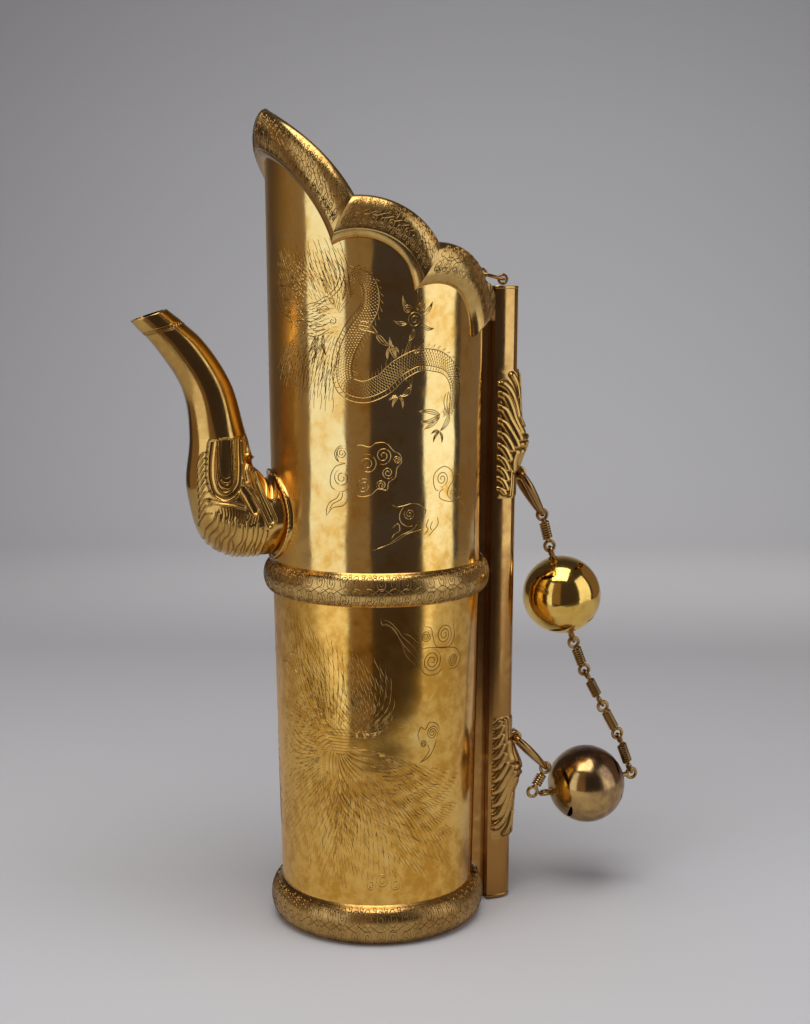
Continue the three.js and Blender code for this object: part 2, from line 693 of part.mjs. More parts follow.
function maskPiece(pivotHeight, facing) {
  const pivot = BAR_DEPTH + PIVOT_REACH;
  const shares = Array.from({ length: MASK_SIDES + 1 }, (_, j) => MASK_WRAP * (2 * j / MASK_SIDES - 1));
  const inner = shares.map((share) => barSkinSpot(share, SEAT_GAP)).reverse();
  const outerAt = (above) => shares.map((share) => barSkinSpot(share, maskLift(share, above)));
  const sectionAt = (above) => [...outerAt(above), ...inner];
  const rings = Array.from({ length: MASK_RINGS + 1 }, (_, i) => {
    const above = THREE.MathUtils.lerp(-MASK_CHIN, MASK_MANE, i / MASK_RINGS);
    return sectionAt(above).map(({ x, y }) => new THREE.Vector3(x, y, pivotHeight + facing * above));
  });
  const shell = skin(rings, sectionAt(-MASK_CHIN));
  const roll = rod(JAW_ROLL_RADIUS, JAW_ROLL_WIDTH).translate(pivot, 0, pivotHeight);
  const bore = rod(STIRRUP_ROOT_RADIUS + SEAT_GAP, BAR_WIDTH * 2).translate(pivot, 0, pivotHeight);
  const clear = barSlab(barOutline(SEAT_GAP, 0), 0, BAR_HEIGHT);
  const legs = legClearance(pivot, pivotHeight);
  return cut(join(shell, roll), clear, bore, ...legs);
}

// Room beside the jaw for the stirrup's legs
function legClearance(pivot, pivotHeight) {
  const radius = STIRRUP_LEG_RADIUS + 2 * SEAT_GAP;
  const width = 2 * (STIRRUP_HALF_WIDTH - JAW_ROLL_WIDTH / 2) + 2 * radius;
  return [-1, 1].map((side) => {
    const room = new THREE.BoxGeometry(2 * radius, width, 2 * radius);
    return room.translate(pivot, side * (JAW_ROLL_WIDTH / 2 + width / 2 + SEAT_GAP), pivotHeight);
  });
}

// Stirrup: a closed loop of round bar in the plane of its droop and Y
function stirrupPiece(pivot, droop) {
  const down = falling(droop);
  const across = new THREE.Vector3(0, 1, 0);
  const corner = STIRRUP_ROOT_RADIUS + SEAT_GAP;
  const path = [];
  const addSpot = (along, aside, radius) => path.push({ along, aside, radius });
  const addArc = (along, aside, bend, from, to, radius) => {
    for (let i = 0; i <= STIRRUP_CORNERS; i += 1) {
      const angle = THREE.MathUtils.lerp(from, to, i / STIRRUP_CORNERS);
      addSpot(along + bend * Math.cos(angle), aside + bend * Math.sin(angle), radius);
    }
  };
  const tip = STIRRUP_LENGTH - STIRRUP_TIP_HALF_WIDTH;
  const shoulder = STIRRUP_HALF_WIDTH - corner;
  addSpot(0, 0, STIRRUP_ROOT_RADIUS);
  addArc(corner, shoulder, corner, Math.PI, Math.PI / 2, STIRRUP_ROOT_RADIUS);
  addSpot(STIRRUP_LENGTH / 3, STIRRUP_HALF_WIDTH, STIRRUP_LEG_RADIUS);
  addArc(tip, 0, STIRRUP_TIP_HALF_WIDTH, Math.PI / 3, -Math.PI / 3, STIRRUP_TIP_RADIUS);
  addSpot(STIRRUP_LENGTH / 3, -STIRRUP_HALF_WIDTH, STIRRUP_LEG_RADIUS);
  addArc(corner, -shoulder, corner, -Math.PI / 2, -Math.PI, STIRRUP_ROOT_RADIUS);
  const normal = down.clone().cross(across);
  const rings = path.map((spot, i) => {
    const before = path[(i + path.length - 1) % path.length];
    const after = path[(i + 1) % path.length];
    const run = new THREE.Vector2(after.along - before.along, after.aside - before.aside).normalize();
    const outward = down.clone().multiplyScalar(-run.y).addScaledVector(across, run.x);
    const centre = pivot.clone().addScaledVector(down, spot.along).addScaledVector(across, spot.aside);
    return Array.from({ length: WIRE_SIDES + 2 }, (_, j) => {
      const angle = j * 2 * Math.PI / (WIRE_SIDES + 2);
      return centre.clone().addScaledVector(outward, spot.radius * Math.cos(angle))
        .addScaledVector(normal, spot.radius * Math.sin(angle));
    });
  });
  return skin(rings);
}

// Winding of a link's shank: one helix of fine wire, whose turns stay apart
function windingCurve(turns) {
  const points = Array.from({ length: turns * CURL_STEPS + 1 }, (_, i) => {
    const angle = i * 2 * Math.PI / CURL_STEPS;
    const height = (i / CURL_STEPS - turns / 2) * WINDING_PITCH;
    return new THREE.Vector3(WINDING_RADIUS * Math.cos(angle), WINDING_RADIUS * Math.sin(angle), height);
  });
  return new THREE.CatmullRomCurve3(points);
}

// Least gap between points of the winding that lie at least half a turn apart
function leastWindingGap(turns) {
  const points = windingCurve(turns).getPoints(turns * CURL_STEPS * 4);
  let least = Infinity;
  points.forEach((point, i) => {
    points.slice(i + CURL_STEPS * 2).forEach((other) => {
      least = Math.min(least, point.distanceTo(other) - 2 * WINDING_WIRE);
    });
  });
  return least;
}

function winding(turns) {
  const outline = new THREE.Shape(Array.from({ length: CURL_SIDES }, (_, i) => {
    const angle = i * 2 * Math.PI / CURL_SIDES;
    return new THREE.Vector2(WINDING_WIRE * Math.cos(angle), WINDING_WIRE * Math.sin(angle));
  }));
  const settings = { steps: turns * CURL_STEPS, extrudePath: windingCurve(turns), bevelEnabled: false };
  return closed(new THREE.ExtrudeGeometry(outline, settings));
}

function eyeLoop(bore, wire) {
  return closed(new THREE.TorusGeometry(bore + wire, wire, EYE_SIDES, LOOP_SIDES));
}

// Heights of a link's two loops, along +Z from its first pin. A facing link has its loops in the plane
// of the chain, round the neighbours' cross wires; an edge link ends in cross wires of its own.
function loopHeights(length, facing, pins) {
  const inset = (pin) => (facing ? LOOP_BORE - pin - SEAT_GAP : LOOP_BORE + WIRE_RADIUS);
  return [inset(pins[0]), length - inset(pins[1])];
}

function linkPiece(low, high, facing) {
  const turn = facing ? 0 : Math.PI / 2;
  const loopAt = (height) => eyeLoop(LOOP_BORE, WIRE_RADIUS).rotateX(Math.PI / 2).rotateZ(turn)
    .translate(0, 0, height);
  const reach = LOOP_BORE + WIRE_RADIUS / 2;
  const shank = rod(SHANK_RADIUS, high - low - 2 * reach).rotateX(Math.PI / 2);
  return join(shank.translate(0, 0, (low + high) / 2), loopAt(low), loopAt(high));
}

function addLink(name, start, end, facing, pins, turns = WINDING_TURNS) {
  const run = end.clone().sub(start);
  const [low, high] = loopHeights(run.length(), facing, pins);
  const link = new THREE.Group();
  link.position.copy(start);
  link.rotation.y = Math.atan2(run.x, run.z);
  addPiece(name, linkPiece(low, high, facing), link, DARK_GILT);
  addPiece(`${name}_winding`, winding(turns).translate(0, 0, (low + high) / 2), link, DARK_GILT);
  ewer.add(link);
}

// Ball: two half shells with slits, an eye at each pole. The ball's own +Z runs to its second eye.
function ballHalf(pole) {
  const inner = BALL_RADIUS - BALL_SHEET;
  const hole = EYE_STEM_RADIUS + SEAT_GAP;
  const outline = [];
  for (const [radius, forward] of [[BALL_RADIUS, true], [inner, false]]) {
    const start = Math.asin(hole / radius);
    const end = Math.PI / 2 - SEAT_GAP / 2 / radius;
    for (let i = 0; i <= BALL_STEPS; i += 1) {
      const angle = THREE.MathUtils.lerp(start, end, (forward ? i : BALL_STEPS - i) / BALL_STEPS);
      outline.push([radius * Math.sin(angle), pole * radius * Math.cos(angle)]);
    }
  }
  const slits = Array.from({ length: SLITS_PER_END }, (_, i) => {
    const slit = new THREE.BoxGeometry(BALL_RADIUS, SLIT_LENGTH, SLIT_WIDTH).translate(BALL_RADIUS, 0, 0);
    return slit.rotateY(-pole * SLIT_LATITUDE).rotateZ((i + 0.5) * 2 * Math.PI / SLITS_PER_END);
  });
  return cut(turned(outline, BALL_SIDES), ...slits);
}

// Eye of a ball: a loop on a stem through the pole. A cross eye ends in a wire along Y at the pin.
function ballEye(pole, cross) {
  const centre = BALL_EYE_REACH - (cross ? LOOP_BORE + WIRE_RADIUS : 0);
  const loop = eyeLoop(LOOP_BORE, WIRE_RADIUS).rotateX(Math.PI / 2).rotateZ(cross ? Math.PI / 2 : 0);
  const root = BALL_RADIUS - 2 * BALL_SHEET;
  const stemTop = centre - LOOP_BORE;
  const stem = rod(EYE_STEM_RADIUS, stemTop - root).rotateX(Math.PI / 2);
  const joined = join(stem.translate(0, 0, (stemTop + root) / 2), loop.translate(0, 0, centre));
  return pole > 0 ? joined : closed(joined.rotateX(Math.PI));
}

function addBall(name, firstEye, droop, cross) {
  const ball = new THREE.Group();
  ball.position.copy(firstEye).addScaledVector(falling(droop), BALL_EYE_REACH);
  ball.rotation.y = Math.PI / 2 + droop;
  addPiece(`${name}_first_half`, ballHalf(-1), ball);
  addPiece(`${name}_second_half`, ballHalf(1), ball);
  addPiece(`${name}_first_eye`, ballEye(-1, cross.first), ball, DARK_GILT);
  addPiece(`${name}_second_eye`, ballEye(1, cross.last), ball, DARK_GILT);
  ewer.add(ball);
}

// Assembly: vessel
addPiece('base_plate', basePlate());
addPiece('lower_body_tube', lowerBodyTube());
addPiece('upper_body_tube', upperBodyTube());
addPiece('base_ring', mouldingRing(BASE_RING_HEIGHT, BASE_RING_BULGE, BASE_RING_HEIGHT / 2));
addPiece('mid_ring', mouldingRing(MID_RING_HEIGHT, MID_RING_BULGE, MID_HEIGHT));

// Assembly: rim collar, left as seen from the spout
for (const [label, side] of [['left', 1], ['right', -1]]) {
  addPiece(`rim_crest_${label}`, crestPiece(side));
  addPiece(`rim_shoulder_${label}`, lobePiece(LOBES.shoulder, CUSPS[0], CUSPS[1], side));
  addPiece(`rim_flank_${label}`, lobePiece(LOBES.flank, CUSPS[1], CUSPS[2], side));
}
addPiece('rim_back_lobe', backPiece());

// Assembly: spout
addPiece('spout_root_collar', spoutRootCollar());
addPiece('spout_head', spoutHead());
addPiece('spout_tube', spoutTube());
addPiece('spout_lip', spoutLip());

// Assembly: handle
addPiece('handle_web', handleWeb());
addPiece('bar_shell', barShell(), handle);
addPiece('bar_back_strip', barBackStrip(), handle);
addPiece('bar_foot_cap', barSlab(barOutline(0, 0), BAR_FOOT, BAR_FOOT + CAP_THICKNESS), handle);
addPiece('bar_top_cap', barSlab(barOutline(0, 0), BAR_HEIGHT - CAP_THICKNESS, BAR_HEIGHT), handle);
addPiece('upper_mask', maskPiece(UPPER_PIVOT_HEIGHT, 1), handle);
addPiece('lower_mask', maskPiece(LOWER_PIVOT_HEIGHT, -1), handle);

// Assembly: tie between the bar's top and the rim, an eye on each and a long link through both
const tieEyeRadius = TIE_EYE_BORE + 2 * TIE_WIRE;
const barEyeSpot = onBar(BAR_EYE_OUT, BAR_HEIGHT);
barEyeSpot.z += SEAT_GAP + tieEyeRadius;
const rimEyeReach = wallRadius(COLLAR_BACK_TOP) + RIM_EYE_OUT;
const rimEyeSpot = new THREE.Vector3(rimEyeReach, 0, COLLAR_BACK_TOP + tieEyeRadius);
for (const [name, spot] of [['bar_top_eye', barEyeSpot], ['rim_eye', rimEyeSpot]]) {
  const eye = addPiece(name, eyeLoop(TIE_EYE_BORE, TIE_WIRE).rotateX(Math.PI / 2), ewer, DARK_GILT);
  eye.position.copy(spot);
}

// Long link in its own XY plane: two straight sides and two round ends, which lie against the eyes
function tieLink(span) {
  const slack = TIE_EYE_BORE - TIE_WIRE - SEAT_GAP;
  const straight = span / 2 + slack - TIE_LINK_HALF_WIDTH;
  const turns = LOOP_SIDES + 1;
  const rings = Array.from({ length: turns }, (_, i) => {
    const turn = (i + 0.5) * 2 * Math.PI / turns;
    const outward = new THREE.Vector3(Math.cos(turn), Math.sin(turn), 0);
    const centre = outward.clone().multiplyScalar(TIE_LINK_HALF_WIDTH);
    centre.x += Math.sign(outward.x) * straight;
    return Array.from({ length: WIRE_SIDES }, (__, j) => {
      const angle = j * 2 * Math.PI / WIRE_SIDES;
      const spot = centre.clone().addScaledVector(outward, TIE_WIRE * Math.cos(angle));
      spot.z += TIE_WIRE * Math.sin(angle);
      return spot;
    });
  });
  return skin(rings);
}

const tieRun = barEyeSpot.clone().sub(rimEyeSpot);
const tie = addPiece('tie_link', tieLink(tieRun.length()), ewer, DARK_GILT);
tie.position.copy(rimEyeSpot).addScaledVector(tieRun, 0.5);
tie.rotation.y = Math.atan2(-tieRun.z, tieRun.x);

// Assembly: stirrups and chain, from the upper jaw to the second ball
const upperPivot = onBar(BAR_DEPTH + PIVOT_REACH, UPPER_PIVOT_HEIGHT);
const lowerPivot = onBar(BAR_DEPTH + PIVOT_REACH, LOWER_PIVOT_HEIGHT);
const upperTip = upperPivot.clone().addScaledVector(falling(UPPER_DROOP), STIRRUP_LENGTH);
const lowerTip = lowerPivot.clone().addScaledVector(falling(LOWER_DROOP), STIRRUP_LENGTH);
addPiece('upper_stirrup', stirrupPiece(upperPivot, UPPER_DROOP), ewer, DARK_GILT);
addPiece('lower_stirrup', stirrupPiece(lowerPivot, LOWER_DROOP), ewer, DARK_GILT);

const nextPin = (pin, { length, droop }) => pin.clone().addScaledVector(falling(droop), length);
const pinBall1 = nextPin(upperTip, LINK_A);
addLink('link_a', upperTip, pinBall1, true, [STIRRUP_TIP_RADIUS, WIRE_RADIUS]);
addBall('ball_1', pinBall1, BALL_1_DROOP, { first: true, last: true });
const pinB = pinBall1.clone().addScaledVector(falling(BALL_1_DROOP), 2 * BALL_EYE_REACH);
const pinC = nextPin(pinB, LINK_B);
const pinD = nextPin(pinC, LINK_C);
const pinE = nextPin(pinD, LINK_D);
const pinBall2 = nextPin(pinE, LINK_E);
addLink('link_b', pinB, pinC, true, [WIRE_RADIUS, WIRE_RADIUS]);
addLink('link_c', pinC, pinD, false, [WIRE_RADIUS, WIRE_RADIUS]);
addLink('link_d', pinD, pinE, true, [WIRE_RADIUS, WIRE_RADIUS]);
addLink('link_e', pinE, pinBall2, false, [WIRE_RADIUS, WIRE_RADIUS]);
const slack = LOOP_BORE - WIRE_RADIUS - SEAT_GAP;
const ball2Eye = pinBall2.clone().addScaledVector(falling(LINK_E.droop), slack);
addBall('ball_2', ball2Eye, BALL_2_DROOP, { first: false, last: true });

// The short link hangs from the lower stirrup, and its open loop lies beside the ball's free eye
const freeEye = ball2Eye.clone().addScaledVector(falling(BALL_2_DROOP), 2 * BALL_EYE_REACH);
const loopReach = LOOP_BORE + 2 * WIRE_RADIUS;
const linkFEnd = freeEye.clone().add(new THREE.Vector3(-WIRE_RADIUS - SEAT_GAP - loopReach, 0, WIRE_RADIUS));
addLink('link_f', lowerTip, linkFEnd, true, [STIRRUP_TIP_RADIUS, WIRE_RADIUS], SHORT_WINDING_TURNS);

console.log(`Least gap between turns of a link's winding: ${leastWindingGap(WINDING_TURNS).toFixed(2)} mm`);

export default ewer;
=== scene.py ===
# %% [markdown]
# # A gilt ewer over its solid frame
# The ewer is a tall vessel of gilt sheet in two stages, with a scalloped rim collar, a spout that grows
# from a beast's head, an upright bar handle and a chain with two hollow balls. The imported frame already
# holds every solid at its true size. This lesson keeps those places and works out finer surfaces as numpy
# arrays, so that the walls are smooth, the carving is carved and the engraving can be felt.

import bpy
import numpy as np
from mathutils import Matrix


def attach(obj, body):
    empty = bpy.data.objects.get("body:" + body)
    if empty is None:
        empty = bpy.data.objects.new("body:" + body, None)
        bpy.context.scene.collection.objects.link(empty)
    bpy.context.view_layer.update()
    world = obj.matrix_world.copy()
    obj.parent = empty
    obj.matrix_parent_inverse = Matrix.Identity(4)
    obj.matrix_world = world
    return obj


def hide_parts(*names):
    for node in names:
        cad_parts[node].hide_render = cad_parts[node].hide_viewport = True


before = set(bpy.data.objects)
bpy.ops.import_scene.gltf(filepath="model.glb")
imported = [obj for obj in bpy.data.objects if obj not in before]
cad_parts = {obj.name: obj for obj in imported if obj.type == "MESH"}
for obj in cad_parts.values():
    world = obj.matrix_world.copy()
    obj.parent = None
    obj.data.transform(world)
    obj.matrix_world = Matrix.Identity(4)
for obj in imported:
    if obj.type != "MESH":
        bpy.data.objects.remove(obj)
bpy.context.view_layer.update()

# %% [markdown]
# ## Writing a finish as sums
# A finish is a small formula: how much stain lies here, how rough the gilding is there. Node links hide
# such a formula, so one class wraps a node's output and lets Python's own operators add the Math nodes.
# Every other node comes from its one method, which takes the kind, the settings and the socket values.


# %% The formula class
class Flow:
    """An output in a node tree; arithmetic on it adds Math nodes to that tree."""

    def __init__(self, tree, socket=None):
        self.tree, self.socket = tree, socket

    def node(self, kind, settings=None, inputs=None, output=0):
        """Adds a node of a kind, sets its settings, then its sockets, and returns one output."""
        made = self.tree.nodes.new("ShaderNode" + kind)
        for key, value in (settings or {}).items():
            setattr(made, key, value)
        for key, value in (inputs or {}).items():
            if isinstance(value, Flow):
                self.tree.links.new(value.socket, made.inputs[key])
            else:
                made.inputs[key].default_value = value
        return Flow(self.tree, made.outputs[output])

    def sums(self, operation, first, second):
        """One Math node on two values."""
        return self.node("Math", {"operation": operation}, {0: first, 1: second})

    def __add__(self, other):
        return self.sums("ADD", self, other)

    def __sub__(self, other):
        return self.sums("SUBTRACT", self, other)

    def __rsub__(self, other):
        return self.sums("SUBTRACT", other, self)

    def __mul__(self, other):
        return self.sums("MULTIPLY", self, other)

    __radd__ = __add__
    __rmul__ = __mul__

    def between(self, low, high):
        """A smooth step: 0 at low, 1 at high; low may be the larger one."""
        ends = {"Value": self, "From Min": low, "From Max": high}
        return self.node("MapRange", {"interpolation_type": "SMOOTHSTEP"}, ends)

    def blend(self, colour, other):
        """The first colour where this value is 0, the other where it is 1."""
        return self.node("Mix", {"data_type": "RGBA"}, {0: self, 6: colour, 7: other}, output=2)

    def noise(self, place, size, detail=3.0, rough=0.55):
        """Cloudy values from 0 to 1, whose largest blots are about size metres across."""
        inputs = {"Vector": place, "Scale": 1 / size, "Detail": detail, "Roughness": rough}
        return self.node("TexNoise", None, inputs)


# %% [markdown]
# ## The gilding
# Fire gilding is never one flat yellow. It is paler where it has been rubbed, browner where the silver
# underneath has tarnished, and its sheet keeps the slow dents of the hammer, which bend the reflections.
# One function makes all the finishes of this ewer from the same formula: stains of two sizes change the
# colour and the roughness together, and two bumps give the dents and the fine wear.


# %% The gilt finish
MM = 0.001
SPOT_BROWN = (0.58, 0.26, 0.02, 1)
HOLLOW_BROWN = (0.10, 0.05, 0.016, 1)


def gilt(name, clean, stain, amount, rough, dents=0.0, wear=0.012, foot=0.0, front=0.0, carved=False):
    """Metal whose colour runs from clean to stain with blots of 45 mm and 6 mm.
    Amount shifts how much takes the stain colour, rough is the roughness of clean metal and of the stain,
    dents and wear are bump heights in mm, foot adds stain on the lower wall, below 0.2 m, and front adds
    painted shade and dullness beside the spout, along the wall's left edge in view, and brown spots all
    over, most of them on the lower wall. Carved metal reads its relief attribute and darkens in its hollows."""
    material = bpy.data.materials.new(name)
    material.use_nodes = True
    tree = material.node_tree
    metal = tree.nodes["Principled BSDF"]
    flow = Flow(tree)
    place = flow.node("TexCoord", output="Object")
    blots = flow.noise(place, 0.045, detail=6.0, rough=0.62)
    specks = flow.noise(place, 0.006, detail=5.0, rough=0.6)
    height = flow.node("SeparateXYZ", None, {"Vector": place}, output=2)
    low = height.between(0.24, 0.17) * foot
    # Painted shade: the spout's side of the wall, along its left edge in view, turns towards the stain colour
    near = flow.node("SeparateXYZ", None, {"Vector": place}, output=0).between(-0.046, -0.056) * front
    # Real stains and, beside the spout, the painted shade decide colour and roughness together
    stain_and_shade = 0.72 * blots + 0.28 * specks + amount + (low + near) * (0.45 + 0.9 * specks)
    stain_and_shade = stain_and_shade.between(0.42, 0.72)
    shade = stain_and_shade.blend((*clean, 1), (*stain, 1))
    if front:
        spots = (0.5 * blots + 0.5 * specks + 0.3 * low).between(0.51, 0.68) * (0.35 + 1.6 * low)
        shade = spots.blend(shade, SPOT_BROWN)
    dull = rough[0] + (rough[1] - rough[0]) * stain_and_shade + 0.10 * (specks - 0.5) + near
    if carved:
        relief = flow.node("Attribute", {"attribute_name": "relief"}, output="Fac")
        hollow = relief.between(0.9, 0.1)
        shade = hollow.blend(shade, HOLLOW_BROWN)
        dull = dull + 0.25 * hollow
    fine = flow.noise(place, 0.0016, detail=4.0, rough=0.7)
    slow = flow.noise(place, 0.03, detail=1.0, rough=0.4)
    surface = flow.node("Bump", None, {"Strength": 1.0, "Distance": wear * MM, "Height": fine})
    if dents:
        bent = {"Strength": 1.0, "Distance": dents * MM, "Height": slow, "Normal": surface}
        surface = flow.node("Bump", None, bent)
    metal.inputs["Metallic"].default_value = 1.0
    tree.links.new(shade.socket, metal.inputs["Base Color"])
    tree.links.new(dull.socket, metal.inputs["Roughness"])
    tree.links.new(surface.socket, metal.inputs["Normal"])
    return material


# %% The ewer's finishes
PALE_GOLD = (0.93, 0.72, 0.30)
ORANGE_GOLD = (0.86, 0.51, 0.115)
BROWN_GOLD = (0.46, 0.25, 0.065)
DARK_GOLD = (0.34, 0.18, 0.05)
finishes = {
    # On the wall, front=0.18 paints shade beside the spout, along the wall's left edge in view
    "wall": gilt(
        "polished_wall_gilt", PALE_GOLD, ORANGE_GOLD, 0.04, (0.09, 0.16), dents=0.8, foot=0.24, front=0.18
    ),
    "collar": gilt("collar_gilt", (0.72, 0.48, 0.165), BROWN_GOLD, 0.04, (0.19, 0.31), dents=0.25),
    "cast": gilt("spout_gilt", (0.72, 0.45, 0.125), BROWN_GOLD, 0.04, (0.13, 0.24), dents=0.3),
    "carved": gilt("carved_gilt", (0.76, 0.48, 0.135), BROWN_GOLD, 0.02, (0.13, 0.24), carved=True),
    "red": gilt("red_carved_gilt", (0.62, 0.36, 0.11), DARK_GOLD, 0.06, (0.24, 0.36), carved=True),
    "bar": gilt("bar_gilt", (0.70, 0.43, 0.13), (0.40, 0.20, 0.055), 0.04, (0.10, 0.20), dents=0.3, foot=0.2),
    "foot": gilt("foot_ring_gilt", (0.56, 0.35, 0.115), DARK_GOLD, 0.05, (0.22, 0.34), dents=0.25),
    "line": gilt("chased_line_gilt", (0.50, 0.31, 0.095), DARK_GOLD, 0.0, (0.16, 0.28)),
    "vine": gilt("dark_line_gilt", (0.30, 0.17, 0.05), (0.18, 0.10, 0.03), 0.05, (0.22, 0.34)),
    "wire": gilt("wire_gilt", (0.54, 0.33, 0.11), (0.26, 0.14, 0.05), 0.03, (0.14, 0.28)),
    "ball": gilt("ball_gilt", (0.93, 0.62, 0.15), (0.62, 0.33, 0.06), 0.0, (0.10, 0.20), dents=0.25),
    "dark_ball": gilt(
        "tarnished_gilt", (0.66, 0.43, 0.15), (0.20, 0.11, 0.07), 0.10, (0.12, 0.26), dents=0.35
    ),
}
print("finishes:", ", ".join(finish.name for finish in finishes.values()))

# %% [markdown]
# ## Sheets and stacks
# Nearly all of the ewer is sheet metal: two faces that run side by side and meet at their edges. So one
# helper takes an outer and an inner grid of points and closes them wherever their cells end, also round
# a hole. Wires, caps and rods are stacks of rings instead. Both return points in millimetres and faces.


# %% Closing grids into bodies
def outward(points, faces):
    """Turns all faces round when the signed volume, the sum of a.(b x c)/6, is negative."""
    volume = 0.0
    for block in faces:
        a, b, c, d = (points[block[:, k]] for k in (0, 1, 2, -1))
        volume += np.sum(a * np.cross(b, c)) + np.sum(a * np.cross(c, d))
    return points, [block[:, ::-1] if volume < 0 else block for block in faces]


def shell(outer, inner, keep=None, wrap=False):
    """Two grids of rows x columns become one closed sheet. Keep says which cells stay; a wall joins
    the faces along each edge where a kept cell meets none. Wrap closes the columns on themselves."""
    rows, cols = outer.shape[:2]
    index = np.arange(rows * cols).reshape(rows, cols)
    if wrap:
        index = np.hstack([index, index[:, :1]])
    if keep is None:
        keep = np.ones((rows - 1, index.shape[1] - 1), bool)
    cell = np.stack([index[:-1, :-1], index[1:, :-1], index[1:, 1:], index[:-1, 1:]], -1)
    rows_kept = np.pad(keep, ((1, 1), (0, 0)))
    cols_kept = np.hstack([keep[:, -1:], keep, keep[:, :1]]) if wrap else np.pad(keep, ((0, 0), (1, 1)))
    edges = []
    for first, second, before, after in (
        (index[:, :-1], index[:, 1:], rows_kept[:-1], rows_kept[1:]),
        (index[1:, :], index[:-1, :], cols_kept[:, :-1], cols_kept[:, 1:]),
    ):
        opening, closing = after & ~before, before & ~after
        edges.append(np.stack([first[opening], second[opening]], -1))
        edges.append(np.stack([second[closing], first[closing]], -1))
    edge = np.unique(np.concatenate(edges), axis=0)
    walls = np.hstack([edge, edge[:, ::-1] + rows * cols])
    faces = [np.concatenate([cell[keep], cell[keep][:, ::-1] + rows * cols, walls])]
    return outward(np.concatenate([outer.reshape(-1, 3), inner.reshape(-1, 3)]), faces)


def stack(rings, loop=False):
    """Rings of equal point counts become one body, closed by a fan at each end or on itself."""
    rows, cols = rings.shape[:2]
    row = np.arange(rows if loop else rows - 1)[:, None]
    col = np.arange(cols)[None, :]
    below, above = row * cols, (row + 1) % rows * cols
    beside = (col + 1) % cols
    quads = np.stack(np.broadcast_arrays(below + col, above + col, above + beside, below + beside), -1)
    points, faces = rings.reshape(-1, 3), [quads.reshape(-1, 4)]
    if not loop:
        points = np.vstack([points, rings[0].mean(0), rings[-1].mean(0)])
        turn, last = np.arange(cols), (rows - 1) * cols
        low = np.stack([turn, (turn + 1) % cols, np.full(cols, rows * cols)], -1)
        high = np.stack([last + (turn + 1) % cols, last + turn, np.full(cols, rows * cols + 1)], -1)
        faces.append(np.concatenate([low, high]))
    return outward(points, faces)


def joined(bodies):
    """Several closed bodies in one mesh."""
    starts = np.cumsum([0] + [len(points) for points, _ in bodies])
    faces = [block + start for (_, blocks), start in zip(bodies, starts) for block in blocks]
    return np.concatenate([points for points, _ in bodies]), faces


# %% [markdown]
# ## Putting a piece into the scene
# A finished body becomes a mesh whose object stays at the origin, rides on one of the frame's bodies and
# stands for the solids it hides. Whole arrays go in at once, which keeps fine carving quick to build.


# %% The piece maker
totals = {}


def add_piece(name, body, finish, solids=(), rides="vessel", relief=None, sharp=38):
    """Makes a mesh of a body in millimetres. Relief, from 0 to 1, is kept on its points."""
    points, faces = body
    corners = np.concatenate([block.ravel() for block in faces])
    sizes = np.concatenate([np.full(len(block), block.shape[1]) for block in faces])
    mesh = bpy.data.meshes.new(name)
    mesh.vertices.add(len(points))
    mesh.loops.add(len(corners))
    mesh.polygons.add(len(sizes))
    mesh.vertices.foreach_set("co", (points * MM).astype(np.float32).ravel())
    mesh.loops.foreach_set("vertex_index", corners.astype(np.int32))
    mesh.polygons.foreach_set("loop_start", (np.cumsum(sizes) - sizes).astype(np.int32))
    mesh.update(calc_edges=True)
    mesh.validate()
    mesh.shade_smooth()
    mesh.set_sharp_from_angle(angle=np.radians(sharp))
    if relief is not None:
        mesh.attributes.new("relief", "FLOAT", "POINT").data.foreach_set("value", relief.astype(np.float32))
    mesh.materials.append(finishes[finish])
    piece = bpy.data.objects.new(name, mesh)
    bpy.context.scene.collection.objects.link(piece)
    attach(piece, rides)
    if solids:
        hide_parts(*solids)
    totals[name] = int(np.sum(sizes - 2))
    print(f"{name}: {totals[name]} triangles")


# %% [markdown]
# ## The vessel wall
# The wall is two turned tubes that widen upwards. It could be a lathe profile with a screw modifier, but
# the rim dips and rises and the spout needs a hole, so both skins are grids over the unrolled wall: the
# distance round it from the spout's side, and the height. A place is turned back into space by one rule.

# %% The unrolled wall
RIM_RADIUS = 60.2
MID_HEIGHT = 197.0
HALF_ROUND = np.pi * RIM_RADIUS
SHEET = 1.4
# Half the gap between the two tubes, hidden behind the middle moulding
BUTT_GAP = 0.15


def wall_radius(height):
    """Two straight flares: 53.9 mm at the foot, 58 at the middle, 60.2 at 435 mm."""
    upper = 58.0 + 2.2 * (height - MID_HEIGHT) / 238.0
    return np.where(height < MID_HEIGHT, 53.9 + 4.1 * height / MID_HEIGHT, upper)


def on_wall(around, height, lift=0.0):
    """The wall at an angle of around/60.2 from the spout, lifted off it; around > 0 is the -Y side."""
    turn = around / RIM_RADIUS
    radius = wall_radius(height) + lift
    return np.stack(np.broadcast_arrays(-radius * np.cos(turn), -radius * np.sin(turn), height), -1)


def full_round(count):
    """Even distances once round the wall, starting on the handle's side."""
    return np.linspace(-HALF_ROUND, HALF_ROUND, count, endpoint=False)


around, height = np.meshgrid(full_round(192), np.linspace(1.9, MID_HEIGHT - BUTT_GAP, 28))
lower = shell(on_wall(around, height), on_wall(around, height, -SHEET), wrap=True)
add_piece("lower_wall", lower, "wall", ["lower_body_tube"])

# %% [markdown]
# ## The scalloped rim
# The collar's lobes are arcs drawn on the unrolled wall, and neighbours meet in mitres. Where two arcs of
# different radius cross, the mitre is the curve of points at the same distance from both middle lines, so
# it is found by crossing the two circles after widening both by that distance. The wall's own upper edge
# follows the same arcs.

